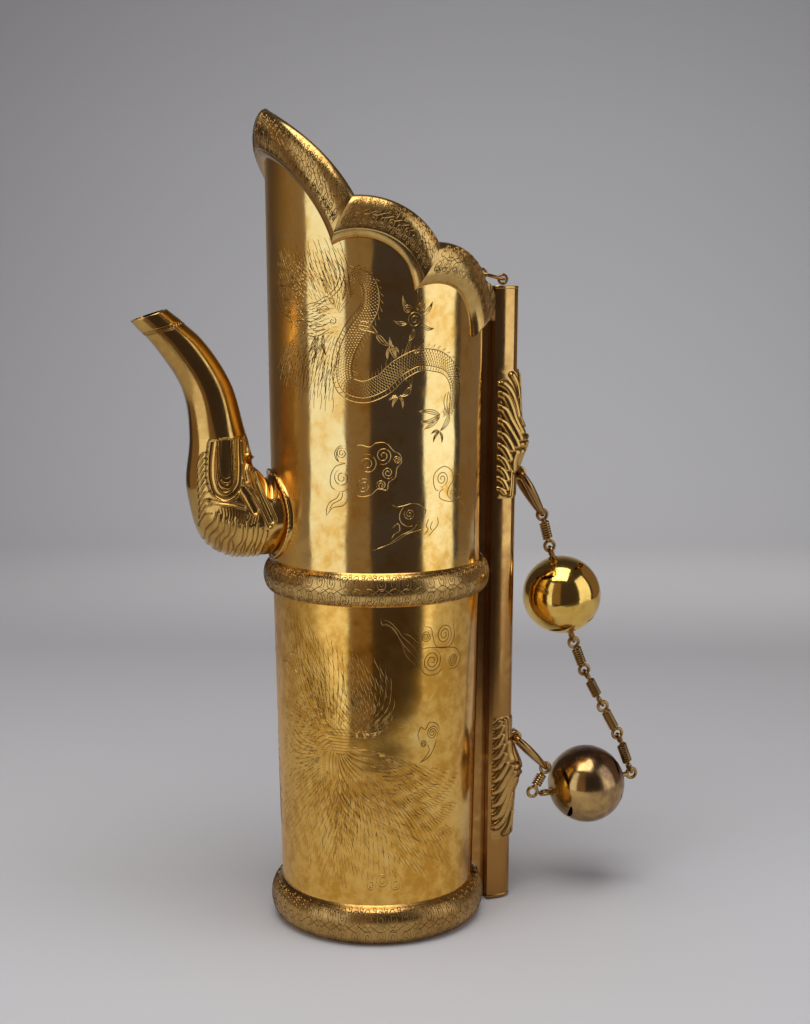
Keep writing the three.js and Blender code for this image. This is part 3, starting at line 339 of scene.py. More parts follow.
# %% Lobes, crossings and the rim
COLLAR_HALF = 10.7
COLLAR_BULGE = 6.0
# Centre (distance round the wall, height) and radius of each lobe, from the spout to the handle
LOBES = np.array([
    (-11.0, 356.0, 80.6),
    (70.3, 351.3, 39.8),
    (113.0, 327.9, 39.8),
    (HALF_ROUND, 214.0, 134.7),
])


def collar_half(around):
    """Half width: 10.7 mm, and 2.4 mm more at the tip over the spout: a swelling of 1.1, a point of 1.3."""
    return COLLAR_HALF + 1.1 * np.exp(-((around / 22.0) ** 2)) + 1.3 * np.exp(-np.abs(around) / 6.0)


def crossing(first, second, widen):
    """Upper crossing of two circles whose radii both grow by widen."""
    line = second[:2] - first[:2]
    span = np.hypot(*line)
    one, two = first[2] + widen, second[2] + widen
    along = (one**2 - two**2 + span**2) / (2 * span)
    across = np.sqrt(one**2 - along**2)
    ahead = line / span
    return first[:2] + np.multiply.outer(along, ahead) + np.multiply.outer(across, [-ahead[1], ahead[0]])


CUSPS = [crossing(LOBES[k], LOBES[k + 1], np.array(COLLAR_HALF)) for k in range(3)]


def rim_height(around):
    """Upper edge of the lobe that covers this place, by its circle, 0.6 mm below the collar's edge."""
    away = np.abs(around)
    x, z, radius = np.moveaxis(LOBES[np.searchsorted([cusp[0] for cusp in CUSPS], away)], -1, 0)
    reach = radius + collar_half(away) - 0.6
    return z + np.sqrt(reach**2 - (away - x) ** 2)


print("mitres, round the wall and up:", [[round(float(value), 1) for value in cusp] for cusp in CUSPS])

# %% The upper wall and its spout hole
SPOUT_HEIGHT = 232.05
HOLE = 9.46
# Rows are level up to this height, and above it they share out the way to the rim
LEVEL_ROWS = 300.0
levels = np.concatenate([
    np.linspace(MID_HEIGHT + BUTT_GAP, SPOUT_HEIGHT - HOLE, 12),
    np.linspace(SPOUT_HEIGHT - HOLE, SPOUT_HEIGHT + HOLE, 13)[1:],
    np.linspace(SPOUT_HEIGHT + HOLE, LEVEL_ROWS, 20)[1:],
    LEVEL_ROWS + np.linspace(0, 1, 30)[1:],
])
around, height = np.meshgrid(full_round(240), levels)
risen = LEVEL_ROWS + (height - LEVEL_ROWS) * (rim_height(around) - LEVEL_ROWS)
height = np.where(height > LEVEL_ROWS, risen, height)
# A square of cells round the spout's axis is drawn into a circle, and its cells are left out
aside, above = around / HOLE, (height - SPOUT_HEIGHT) / HOLE
square, circle = np.maximum(abs(aside), abs(above)), np.hypot(aside, above)
pull = 1 + (square / np.maximum(circle, 1e-6) - 1) * np.clip((2.2 - square) / 1.2, 0, 1)
around, height = aside * pull * HOLE, SPOUT_HEIGHT + above * pull * HOLE
open_corner = square < 1.001
open_edge = open_corner & np.roll(open_corner, -1, 1)
wall_cell = ~(open_edge[:-1] & open_edge[1:])
upper = shell(on_wall(around, height), on_wall(around, height, -SHEET), keep=wall_cell, wrap=True)
add_piece("upper_wall", upper, "wall", ["upper_body_tube"])

# %% [markdown]
# ## The two mouldings
# Round the foot and the middle run half-round mouldings, bent from sheet and hollow behind. Each is a
# half ellipse carried round the wall. A small flat at each edge is where the strip lies against the wall.


# %% Foot and middle rings
# Thickness of the sheet that mouldings and collar are bent from
STRIP_SHEET = 1.3


def moulding(across, bulge, centre, width):
    """A place on a moulding's face: across runs from -1 to 1, and the bulge follows a half ellipse."""
    edge = 0.7 * np.clip((1 - np.abs(across)) / 0.05, 0, 1)
    level = centre + width / 2 * across
    return level, np.maximum(edge, bulge * np.sqrt(np.clip(1 - (across / 0.94) ** 2, 0, 1)))


def moulding_ring(bulge, centre, width):
    """A ring of sheet: the moulding's face, and the same face a sheet further in, but outside the wall."""
    across = np.concatenate([[-1], -np.cos(np.linspace(0.03, np.pi - 0.03, 41)), [1]])
    around, across = np.meshgrid(full_round(192), across)
    level, lift = moulding(across, bulge, centre, width)
    inner = np.maximum(lift - STRIP_SHEET, 0.02)
    return shell(on_wall(around, level, lift + 0.02), on_wall(around, level, inner), wrap=True)


BASE_RING = (6.4, 11.1, 22.2)
MID_RING = (5.1, 197.0, 18.3)
add_piece("foot_moulding", moulding_ring(*BASE_RING), "foot", ["base_ring"])
add_piece("middle_moulding", moulding_ring(*MID_RING), "collar", ["mid_ring"])

# %% [markdown]
# ## The collar
# Each lobe is one grid: across the half-round strip, and along it between its two mitres. The strip has a
# thin flange along its lower edge, which catches a line of light in the photograph.


# %% Collar lobes
def collar_lift(across):
    """Half ellipse. On the lower side, past 0.6 of the half width, a plain band lies 0.4 mm lower behind a
    small step, and its edge is a flange 0.9 mm thick."""
    dome = COLLAR_BULGE * np.sqrt(np.clip(1 - across**2, 0, 1))
    band = dome - 0.4 * np.clip((-0.58 - across) / 0.03, 0, 1)
    flange = 0.9 * np.clip((across + 1) / 0.03, 0, 1) * (across < 0)
    return np.maximum(band, flange)


def on_collar(lobe, turn, across, lift, half):
    """Turn is the angle about the lobe's centre from straight up; across runs from -1 to 1."""
    reach = lobe[2] + half * across
    return on_wall(lobe[0] + reach * np.sin(turn), lobe[1] + reach * np.cos(turn), lift)


def mitre_turn(number, other, across):
    """Turn of a lobe's mitre with its neighbour, for each place across the strip."""
    lobe, beside = LOBES[number], LOBES[other]
    order = (lobe, beside) if other > number else (beside, lobe)
    spot = crossing(*order, COLLAR_HALF * across)
    return np.arctan2(spot[..., 0] - lobe[0], spot[..., 1] - lobe[1])


# Half width where the two crests meet over the spout, and half the seam between other lobes
TIP_HALF = 12.9
HAIRLINE = 0.06


def lobe_ends(number, across):
    """Turns at which a lobe starts and ends, for each place across it, a hairline short of its mitres."""
    lobe = LOBES[number]
    seam = HAIRLINE / lobe[2]
    if number == 0:
        start = np.arcsin(-lobe[0] / (lobe[2] + TIP_HALF * across)) + 0.01 / lobe[2]
    else:
        start = mitre_turn(number, number - 1, across) + seam
    return start, mitre_turn(number, number + 1, across) - seam if number < 3 else -start


def collar_lobe(number, side):
    """One lobe of the collar, across the strip by along it between its mitres; side -1 mirrors it."""
    across = np.sort(np.concatenate([[-0.97, -0.615, -0.575], -np.cos(np.linspace(0, np.pi, 40))]))
    lobe = LOBES[number]
    start, end = lobe_ends(number, across)
    share, across = np.meshgrid(np.linspace(0, 1, 72), across)
    turn = start[:, None] + (end - start)[:, None] * share
    half = collar_half(lobe[0] + lobe[2] * np.sin(turn))
    lift = collar_lift(across)
    outer = on_collar(lobe, turn, across, lift + 0.03, half)
    inner = on_collar(lobe, turn, across, np.maximum(lift - STRIP_SHEET, 0.01), half)
    flip = np.array([1, side, 1])
    return shell(outer * flip, inner * flip)


for label, side in (("right", 1), ("left", -1)):
    for number, place in enumerate(("crest", "shoulder", "flank")):
        name = f"{place}_{label}"
        add_piece(f"collar_{name}", collar_lobe(number, side), "collar", [f"rim_{name}"])
add_piece("collar_back", collar_lobe(3, 1), "collar", ["rim_back_lobe"])

# %% [markdown]
# ## The spout
# The spout is a pipe whose section changes all the way: wide and deep at the beast's head, then a softly
# eight-sided tube that bends over to the mouth. Stations along it join its inner bend to its outer bend.
# A smooth curve through the stations gives every ring, and a rule for the section gives its eight sides.

# %% Stations of the spout
# Reach from the wall and rise of the inner and the outer bend, and the half width
STATIONS = np.array([
    (-3.3, 21.0, -3.3, -21.5, 21.2),
    (4.7, 22.0, 7.7, -23.3, 22.5),
    (6.7, 24.0, 26.7, -22.4, 22.8),
    (8.5, 26.3, 41.2, -11.5, 22.3),
    (11.0, 31.0, 47.9, 15.0, 18.8),
    (15.4, 46.0, 45.6, 44.0, 15.0),
    (22.7, 72.0, 49.1, 68.7, 13.3),
    (37.7, 95.5, 62.0, 90.0, 12.0),
    (56.8, 111.7, 75.3, 105.5, 9.9),
])


def smooth_through(points, at):
    """A cubic curve through points (centripetal Catmull-Rom): its slope at a point weighs the two spans
    beside it by the roots of their lengths. At counts points from 0."""
    points = np.asarray(points, float)
    padded = np.vstack([2 * points[0] - points[1], points, 2 * points[-1] - points[-2]])
    span = np.clip(np.floor(at).astype(int), 0, len(points) - 2)
    share = (at - span)[..., None]
    before, start, end, after = (padded[span + k] for k in range(4))
    pairs = ((before, start), (start, end), (end, after))
    one, two, three = (np.sqrt(np.linalg.norm(b - a, axis=-1, keepdims=True)) for a, b in pairs)
    leave = ((start - before) / one - (end - before) / (one + two) + (end - start) / two) * two
    arrive = ((end - start) / two - (after - start) / (two + three) + (after - end) / three) * two
    bend = 3 * (end - start) - 2 * leave - arrive
    twist = 2 * (start - end) + leave + arrive
    return start + share * leave + share**2 * bend + share**3 * twist


def spout_place(station, angle, inset=0.0, grow=0.0, corners=0.0):
    """A point of the spout: an ellipse from the inner to the outer bend and across. Corners turn it
    softly into eight sides: the radius is (sum of cos^p to each side)^(-1/p). Grow thickens the spout,
    and an inset makes its bore instead, that much thinner and never wider than 10.5 mm from its middle."""
    wall = float(wall_radius(SPOUT_HEIGHT))
    sign = np.array([-1.0, 1.0])
    inner = smooth_through(STATIONS[:, 0:2], station) * sign + [-wall, SPOUT_HEIGHT]
    outer = smooth_through(STATIONS[:, 2:4], station) * sign + [-wall, SPOUT_HEIGHT]
    numbered = np.stack([np.arange(len(STATIONS)), STATIONS[:, 4]], -1)
    half = smooth_through(numbered, station)[..., 1]
    middle, toward = (inner + outer) / 2, (outer - inner) / 2
    depth = np.linalg.norm(toward, axis=-1)
    sides = np.arange(8) * np.pi / 4
    sharpness = 11.0
    facing = np.maximum(np.cos(angle[..., None] - sides), 0) ** sharpness
    eight = np.sum(facing, -1) ** (-1 / sharpness)
    shape = 1 + corners * (0.985 * eight - 1)
    deep, wide = (np.minimum(10.5, size - inset) if inset else size + grow for size in (depth, half))
    spot = middle + toward / depth[..., None] * (deep * shape * np.cos(angle))[..., None]
    return np.stack([spot[..., 0], wide * shape * np.sin(angle), spot[..., 1]], -1)


def seated(points, gap):
    """Keeps points off the vessel: those nearer its axis than the wall move out along -X."""
    seat = wall_radius(points[..., 2]) + gap
    edge = -np.sqrt(np.clip(seat**2 - points[..., 1] ** 2, 0, None))
    points[..., 0] = np.minimum(points[..., 0], edge)
    return points


def sections(start, end, rows, cols):
    """Stations and angles of a pipe: angle 0 is the outer bend, and its columns close."""
    angle = np.linspace(-np.pi, np.pi, cols, endpoint=False)
    return np.meshgrid(angle, np.linspace(start, end, rows))[::-1]


print("spout: reach", STATIONS[-1, 2], "mm, rise", STATIONS[-1, 1], "mm, from", len(STATIONS), "stations")

# %% The eight-sided tube and its lip
# Stations where the head ends, the lip starts and the spout opens
HEAD_END, LIP_START, MOUTH = 4.95, 7.6, 8.0
SPOUT_SHEET = 1.5
station, angle = sections(HEAD_END, MOUTH, 90, 128)
facets = np.clip((station - HEAD_END) / 0.6, 0, 1)
bore = spout_place(station, angle, inset=SPOUT_SHEET)
tube = shell(spout_place(station, angle, corners=facets), bore, wrap=True)
add_piece("spout_tube_facets", tube, "cast", ["spout_tube"])
station, angle = sections(LIP_START, MOUTH, 24, 128)
swelling = np.clip((station - LIP_START) / 0.02, 0, 1)
rounded = np.clip((MOUTH - station) / 0.02 + 0.35, 0, 1)
swell = 0.3 + 0.25 * swelling * rounded
lip = shell(
    spout_place(station, angle, grow=swell, corners=1.0),
    spout_place(station, angle, grow=0.1, corners=1.0),
    wrap=True,
)
add_piece("spout_mouth_band", lip, "cast", ["spout_lip"])

# %% [markdown]
# ## The beast's head
# The lower spout is cast as a beast's head: nested straps run round its muzzle, an ear curls back, and a
# mane of wavy locks covers its throat. Sculpting would do, but here each strap is a stroke with a width
# and a height, and a point's relief is the height of a rounded ridge at its distance from the stroke. The
# locks are cut in the same way: their furrows are strokes whose height is taken off. The rings of the bore
# come back inside the carved ones, far fewer of them, because nobody looks there.


# %% Rounded ridges along strokes
def soft_step(value, low, high):
    """0 at low, 1 at high and 3t^2 - 2t^3 between them; low may be the larger one."""
    share = np.clip((value - low) / (high - low), 0, 1)
    return share * share * (3 - 2 * share)


def ridges(spots, strokes):
    """The highest of all ridges, and the gap to the nearest one's edge. A ridge is half an ellipse across:
    at a distance d from its stroke its height is rise * sqrt(1 - (d / half width)^2)."""
    height = np.zeros(spots.shape[:-1])
    gap = np.full(height.shape, np.inf)
    for points, width, rise in strokes:
        near = np.full(height.shape, np.inf)
        for spot in smooth_through(points, np.linspace(0, len(points) - 1, 12 * len(points))):
            near = np.minimum(near, np.sum((spots - spot) ** 2, -1))
        near = np.sqrt(near)
        height = np.maximum(height, rise * np.sqrt(np.clip(1 - (near / width) ** 2, 0, 1)))
        gap = np.minimum(gap, near - width)
    return height, gap


def raised(points, relief):
    """Moves a closed-column grid along its own normals, the cross product of its two directions."""
    down = np.gradient(points, axis=0)
    beside = (np.roll(points, -1, 1) - np.roll(points, 1, 1)) / 2
    normal = np.cross(beside, down)
    normal /= np.maximum(np.linalg.norm(normal, axis=-1, keepdims=True), 1e-9)
    return points + normal * relief[..., None]


# %% The head's strokes
# Strokes on the side of the head, as (x, z) in millimetres, with half width and height
HEAD_STROKES = [
    ([(-93.5, 274), (-95, 262), (-95, 253), (-93, 247), (-88.5, 244.5), (-84, 246.5), (-81, 251),
      (-80, 258.5), (-80, 267.5), (-80, 275)], 2.1, 1.3),
    ([(-91, 274), (-91.5, 261.5), (-91, 254.5), (-89.5, 251), (-86.5, 250), (-84.5, 253),
      (-84, 261.5), (-84, 274)], 0.7, 0.9),
    ([(-90, 254), (-87.5, 253), (-85.5, 254)], 0.5, 0.45),
    ([(-77, 277), (-75.5, 272), (-75.5, 267)], 1.8, 1.7),
    ([(-75, 264), (-77, 259), (-76.5, 253)], 1.5, 1.1),
    ([(-73, 263), (-68, 259.5), (-64, 255), (-62.5, 250.5), (-63, 244.5)], 2.2, 1.9),
    ([(-72.5, 257), (-70.5, 249.5), (-67, 240), (-63.5, 231.5)], 1.7, 1.3),
    ([(-75.5, 248.5), (-72, 243.5), (-68.5, 237), (-65, 229)], 1.2, 0.9),
    ([(-79, 248.5), (-76.5, 244), (-73, 237.5)], 2.6, 1.2),
    ([(-96, 242.5), (-86, 241.5), (-78.5, 239.5)], 0.9, 0.5),
]
print("strokes on each side of the head:", len(HEAD_STROKES))

# %% The mane's furrows
# Locks down the throat as (x, z), then curls along the outer bend and fine hairs below the straps
THROAT_FURROWS = [
    [(-93, 237), (-94.5, 231.5), (-98, 226.5), (-98.5, 220)],
    [(-91.5, 235.5), (-92.5, 228), (-96, 223), (-96, 215)],
    [(-89, 234), (-89.5, 226.5), (-93, 221), (-92.5, 212)],
    [(-86, 231.5), (-86.5, 225.5), (-90, 219.5), (-89.5, 210)],
    [(-83, 234), (-83.5, 226), (-86.5, 219.5), (-86, 209)],
    [(-79.5, 230), (-80, 220.5), (-82.5, 216), (-82.5, 208)],
    [(-77, 232), (-77.5, 222.5), (-79.5, 216.5), (-80, 208)],
    [(-74, 228), (-74.5, 220.5), (-76.5, 215.5), (-77, 208)],
    [(-71.5, 230), (-72, 221), (-74, 215.5), (-74, 208)],
    [(-68.5, 226.5), (-70, 219), (-71.5, 214), (-71, 208)],
    [(-66, 225.5), (-67, 219.5), (-68, 215.5), (-68.5, 209)],
    [(-85, 221.5), (-84, 217), (-85, 211)],
    [(-91.5, 223), (-91, 218.5), (-91.5, 213)],
    [(-78.5, 220), (-78, 216), (-78.5, 211)],
    [(-73, 219), (-72.5, 215), (-73, 211)],
]
CURL_STARTS = (268.5, 265.5, 262.5, 259, 255.5, 252, 248, 244, 240.5, 236)
curls = [[(-96, z), (-98.5, z - 1), (-100.5, z - 4.5), (-101.5, z - 8.5)] for z in CURL_STARTS]
furrows = [(line, 0.6, 1.0) for line in THROAT_FURROWS] + [(line, 0.55, 1.0) for line in curls]
hairs = [([(x, 239.4 + 0.12 * (x + 82)), (x + 0.4, 236), (x - 0.5, 232 - (x % 2))], 0.42, 1.0)
         for x in np.arange(-94.0, -71.0, 1.5)]
print("furrows:", len(furrows), "hairs:", len(hairs))

# %% The carved head
station, angle = sections(0.0, HEAD_END, 280, 320)
head = spout_place(station, angle)
flank = head[..., [0, 2]]
straps, gap = ridges(flank, HEAD_STROKES)
deep, _ = ridges(flank, furrows)
shallow, _ = ridges(flank, hairs)
# Furrows and hairs are cut where no strap stands, and a narrow hollow follows every strap
bare = soft_step(straps, 0.35, 0.05)
cut_in = np.maximum(0.5 * deep, 0.18 * shallow) * bare
hollow = 0.45 * np.exp(-(((gap - 0.25) / 0.5) ** 2))
# The panel between the muzzle's straps is sunk, and the outer bend swells by a millimetre
panel = soft_step(np.abs(flank[..., 0] + 87.5), 3.2, 2.6) * soft_step(flank[..., 1], 252.5, 254.5)
side = np.degrees(np.abs(angle))
swollen = 1.0 * soft_step(side, 110, 40) * soft_step(station, 4.4, 3.4)
relief = straps + swollen - cut_in - hollow - 0.4 * panel * bare
relief = relief * soft_step(station, HEAD_END, HEAD_END - 0.08)
carved = seated(raised(head, relief), 0.15)
bore = seated(spout_place(station, angle, inset=SPOUT_SHEET), 0.15)[::-31]
shade = np.clip(1 - 1.05 * cut_in - 1.2 * hollow - 0.55 * panel * bare, 0, 1)
marks = np.concatenate([shade.ravel(), np.ones(bore[..., 0].size)])
body = stack(np.concatenate([carved, bore]), loop=True)
add_piece("spout_beast_head", body, "carved", ["spout_head"], relief=marks, sharp=75)

# %% [markdown]
# ## The collar at the spout's root
# A flange seats the head on the wall, with a twisted cord of metal along its rim. Both are rings carried
# round the spout's root, and each point is pushed off the wall so that the flange sits like a saddle.


# %% Root flange and its twisted cord
def root_ring(radius, forward, count=360):
    """Sections round the root: radius from its axis, and forward from the wall, both per section point."""
    turn = np.linspace(0, 2 * np.pi, count, endpoint=False)[:, None]
    radius, forward = radius + 0 * turn, forward + 0 * turn
    across, up = radius * np.sin(turn), SPOUT_HEIGHT + radius * np.cos(turn)
    wall = np.sqrt(wall_radius(up) ** 2 - across**2)
    return np.stack([-wall - forward, across, up], -1)


profile = np.linspace(0, np.pi, 12)
flange_radius = np.concatenate([23.9 + 1.0 * np.cos(profile), [22.9]])
flange_forward = np.concatenate([0.1 + 1.9 * np.sin(profile) ** 0.6, [0.1]])
turn = np.linspace(0, 2 * np.pi, 360, endpoint=False)[:, None]
coil = np.linspace(0, 2 * np.pi, 14, endpoint=False)
thick = 0.6 * (1 + 0.18 * np.cos(2 * coil - 60 * turn))
flange = stack(root_ring(flange_radius, flange_forward), loop=True)
cord = stack(root_ring(24.3 + thick * np.cos(coil), 1.9 + thick * np.sin(coil)), loop=True)
add_piece("spout_root_flange", joined([flange, cord]), "cast", ["spout_root_collar"])

# %% [markdown]
# ## The bar handle
# The handle is a hollow bar that leans out by less than half a degree, flat behind and rounded in front,
# with a cap at each end. Its outline is half of a squarish ellipse, which turns without a crease from the
# sides into the nose. The caps are stacks of that outline whose last rings shrink, which rounds their
# edges. The web plate between bar and wall stays as the frame has it.

# %% The leaning bar
BAR_REACH, BAR_LEAN = 64.0, np.radians(0.4276)
BAR_DEPTH, BAR_HALF = 15.6, 8.2
BAR_SQUARE = 2.6
BAR_FOOT, BAR_TOP = 1.2, 356.0
BAR_SHEET, CAP_THICK = 0.7, 1.7


def on_bar(out, across, up):
    """Bar coordinates, out from its back face, across and up, turned by its lean about Y."""
    x = BAR_REACH + out * np.cos(BAR_LEAN) + up * np.sin(BAR_LEAN)
    return np.stack(np.broadcast_arrays(x, across, up * np.cos(BAR_LEAN) - out * np.sin(BAR_LEAN)), -1)


def over_bar(share, lift=0.0):
    """Out and across on the bar's front, lifted along its normal. Share runs from -1 to 1 between its
    back corners. The outline is (out/15.6)^2.6 + (across/8.2)^2.6 = 1."""
    turn = share * np.pi / 2
    one = np.maximum(np.cos(turn), 0) ** (2 / BAR_SQUARE)
    two = np.sign(share) * np.abs(np.sin(turn)) ** (2 / BAR_SQUARE)
    steep = one ** (BAR_SQUARE - 1) / BAR_DEPTH
    flat = np.sign(share) * np.abs(two) ** (BAR_SQUARE - 1) / BAR_HALF
    size = np.hypot(steep, flat)
    return BAR_DEPTH * one + lift * steep / size, BAR_HALF * two + lift * flat / size


def bar_rings(levels, grow):
    """Rings of the bar's outline at some heights, each grown by its own amount. The back corners are
    drawn in by half a millimetre, which fades over the next half."""
    share = np.linspace(-1, 1, 61)[None, :]
    grow = grow[:, None]
    out, across = over_bar(share, grow)
    soft = 0.5 * np.exp(-np.maximum(out, 0) / 0.5)
    return on_bar(out - grow * (out <= 0.3), across - np.sign(share) * soft, levels[:, None])


levels = np.linspace(BAR_FOOT + CAP_THICK, BAR_TOP - CAP_THICK, 60)
tube = shell(bar_rings(levels, np.zeros(60)), bar_rings(levels, np.full(60, -BAR_SHEET)), wrap=True)
add_piece("handle_bar", tube, "bar", ["bar_shell", "bar_back_strip"])
edge = np.array([-0.5, -0.1, 0.12, 0.15, 0.15, 0.12, -0.1, -0.5])
rise = np.array([0.0, 0.1, 0.4, 0.7, 1.0, 1.3, 1.6, CAP_THICK])
add_piece("handle_foot_cap", stack(bar_rings(BAR_FOOT + rise, edge)), "bar", ["bar_foot_cap"])
add_piece("handle_top_cap", stack(bar_rings(BAR_TOP - CAP_THICK + rise, edge)), "bar", ["bar_top_cap"])
for name in ("handle_web", "base_plate"):
    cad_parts[name].data.materials.clear()
    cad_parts[name].data.materials.append(finishes["bar"])

# %% [markdown]
# ## The two beast masks
# On the bar sit two masks whose jaws hold the stirrups: the upper one looks down, the lower one is its
# mirror. Each is a plate wrapped over the bar that swells to a snout. Its mane of locks, the ridge over
# the brow and the cheeks are strokes again, this time on the unrolled plate: distance from the middle
# line, and distance from the stirrup's pin.

# %% Mask carving
PIN_OUT = BAR_DEPTH + 2.3
# Distance over the bar's front from its middle line to its back corner
BACK_CORNER = 14.0
# Distance from the middle line and from the pin, half width, height
MASK_STROKES = [
    ([(8.2, 56), (5.4, 51), (3.4, 44)], 1.5, 1.3),
    ([(12.2, 51), (9.6, 47.6), (6.8, 41), (4.4, 33)], 1.8, 1.6),
    ([(13, 45.6), (11, 43.6), (9, 38.6), (6.8, 31), (4.8, 24)], 1.9, 1.8),
    ([(13.2, 38), (11.4, 36.4), (9.6, 32), (7.4, 26), (5.6, 20)], 1.8, 1.7),
    ([(13.2, 30.5), (11.6, 29), (9.8, 25), (8, 20), (6.6, 16)], 1.7, 1.7),
    ([(13.2, 23.4), (11.8, 22), (10.2, 18.4), (8.6, 14)], 1.6, 1.6),
    ([(13.2, 16.6), (11.9, 15.2), (10.5, 12), (9.2, 8.4)], 1.5, 1.5),
    ([(13.2, 10), (12, 8.8), (10.7, 6), (9.6, 2.8)], 1.4, 1.4),
    ([(13.1, 3.8), (12, 2.6), (10.8, 0), (9.9, -3)], 1.35, 1.3),
    ([(13, -2.2), (11.9, -3.4), (10.8, -5.8), (10, -8.4)], 1.3, 1.2),
    ([(12.8, -8), (11.8, -9), (10.8, -11)], 1.2, 1.1),
    ([(0, 58), (0, 48), (0, 36), (0, 27)], 1.5, 1.5),
    ([(2.9, 57), (2.6, 46), (2.2, 36), (1.9, 28)], 1.0, 1.1),
    ([(5.4, 21.6), (3.6, 19.8), (1.5, 21.4)], 1.2, 1.2),
    ([(4.6, 16.6), (4.2, 16.2)], 1.5, 1.3),
    ([(6.6, 11.5), (6.9, 7), (6.2, 2.5)], 2.4, 1.5),
    ([(3, 12), (3.2, 8.5), (2.4, 5.4)], 2.0, 1.2),
    ([(0, 17), (0, 11), (0, 6)], 2.2, 1.3),
    ([(8.2, 2), (8.3, -5), (8.8, -12)], 1.0, 1.0),
]


def snout(share, above):
    """A swelling of 6.2 mm on the middle line, 19 mm from the pin, that fades out up the brow."""
    rise = above - 19.0
    brow = np.where(rise > 0, 0.35 * np.exp(-((rise / 34) ** 2)), 0)
    return 6.2 * np.exp(-((share / 0.46) ** 2)) * np.maximum(np.exp(-((rise / 12) ** 2)), brow)


def jaw_roll(pin_height):
    """The barrel that holds the stirrup: a thick tube across the bar, bored for the stirrup's root."""
    turn = np.linspace(0, 2 * np.pi, 32, endpoint=False)
    wide = np.array([-3.8, -3.8, -3.6, -3.0, 3.0, 3.6, 3.8, 3.8])[:, None]
    size = np.array([2.1, 3.1, 3.6, 3.9, 3.9, 3.6, 3.1, 2.1])[:, None]
    spots = on_bar(PIN_OUT + size * np.cos(turn), wide + 0 * turn, pin_height + size * np.sin(turn))
    return stack(spots, loop=True)


MASK_CHIN, MASK_MANE = -14, 59


def mask(name, pin_height, facing, finish, node, depth):
    """A carved plate over the bar and its jaw; facing turns it over, and depth scales its locks."""
    share, above = np.meshgrid(np.linspace(-0.96, 0.96, 190), np.linspace(MASK_CHIN, MASK_MANE, 260))
    spread = np.abs(share) * BACK_CORNER
    carving, gap = ridges(np.stack([spread, above], -1), MASK_STROKES)
    carving = depth * carving
    beads = (0.5 + 0.5 * np.cos(2 * np.pi * above / 1.9)) * (spread < 1.3) * (above > 30)
    ends = soft_step(above, MASK_MANE, MASK_MANE - 3) * soft_step(above, MASK_CHIN, MASK_CHIN + 2)
    edge = soft_step(spread, 13.4, 12.6) * ends
    hollow = np.exp(-(((gap - 0.3) / 0.45) ** 2))
    lift = 0.12 + (0.55 + snout(share, above) + carving - 0.25 * beads - 0.3 * hollow) * edge
    lift = np.maximum(lift, 0.1 + carving * soft_step(spread, 13.9, 13.3))
    outer = on_bar(*over_bar(share, lift), pin_height + facing * above)
    inner = on_bar(*over_bar(share, 0.03), pin_height + facing * above)
    shade = np.clip(1 - 0.85 * hollow - 0.5 * beads, 0, 1)
    roll = jaw_roll(pin_height)
    marks = np.concatenate([shade.ravel(), np.ones(share.size + len(roll[0]))])
    add_piece(name, joined([shell(outer, inner), roll]), finish, [node], relief=marks, sharp=75)


UPPER_PIN, LOWER_PIN = 250.5, 95.5
mask("upper_beast_mask", UPPER_PIN, 1, "carved", "upper_mask", 1.0)
mask("lower_beast_mask", LOWER_PIN, -1, "red", "lower_mask", 0.65)

# %% [markdown]
# ## Wire, loops and stirrups
# Stirrups, links and eyes are all wire. A round section is carried along a path: at each point the path's
# direction and a fixed upward vector give the two axes of the section. A path may close on itself.


# %% Wire along a path
def wire(path, radius, up, sides=12, loop=False):
    """Circles of a radius, one per path point, in the plane square to the path."""
    ahead = np.roll(path, -1, 0) - np.roll(path, 1, 0) if loop else np.gradient(path, axis=0)
    side = np.cross(ahead, up)
    side /= np.linalg.norm(side, axis=-1, keepdims=True)
    top = np.cross(side, ahead)
    top /= np.linalg.norm(top, axis=-1, keepdims=True)
    turn = np.linspace(0, 2 * np.pi, sides, endpoint=False)[:, None]
    radius = np.broadcast_to(radius, len(path))[:, None, None]
    return stack(path[:, None] + radius * (np.cos(turn) * side[:, None] + np.sin(turn) * top[:, None]), loop)


def falling(droop):
    """Unit vector in the plane of spout and handle, droop degrees below +X."""
    return np.array([np.cos(np.radians(droop)), 0.0, -np.sin(np.radians(droop))])


ACROSS = np.array([0.0, 1.0, 0.0])


def oval(centre, one, two, reach, tall, radius, count=48, sides=12):
    """A wire ring with half sizes reach along one and tall along two."""
    turn = np.linspace(0, 2 * np.pi, count, endpoint=False)[:, None]
    path = centre + reach * np.cos(turn) * one + tall * np.sin(turn) * two
    return wire(path, radius, np.cross(one, two), sides, loop=True)


# %% Stirrups
# Along the stirrup from its pin, aside, and radius of the bar, for one half
STIRRUP = np.array([
    (0.0, 0.0, 1.7), (0.0, 2.6, 1.7), (0.05, 4.3, 1.7), (1.0, 5.9, 1.8), (3.0, 6.6, 2.0), (8.0, 6.7, 2.4),
    (14.0, 5.7, 2.4), (20.0, 4.3, 2.15), (25.0, 3.1, 1.75), (27.6, 1.9, 1.5), (28.9, 0.6, 1.4),
])


def stirrup(name, pin, droop):
    """A closed loop of tapering bar: the half outline and its mirror, hung from a pin."""
    halves = np.vstack([STIRRUP, STIRRUP[:0:-1] * [1, -1, 1]])
    spots = smooth_through(np.vstack([halves, halves[:1]]), np.linspace(0, len(halves), 140, endpoint=False))
    path = pin + spots[:, :1] * falling(droop) + spots[:, 1:2] * ACROSS
    body = wire(path, spots[:, 2], np.cross(falling(droop), ACROSS), 14, loop=True)
    add_piece(name + "_loop", body, "wire", [name], name)


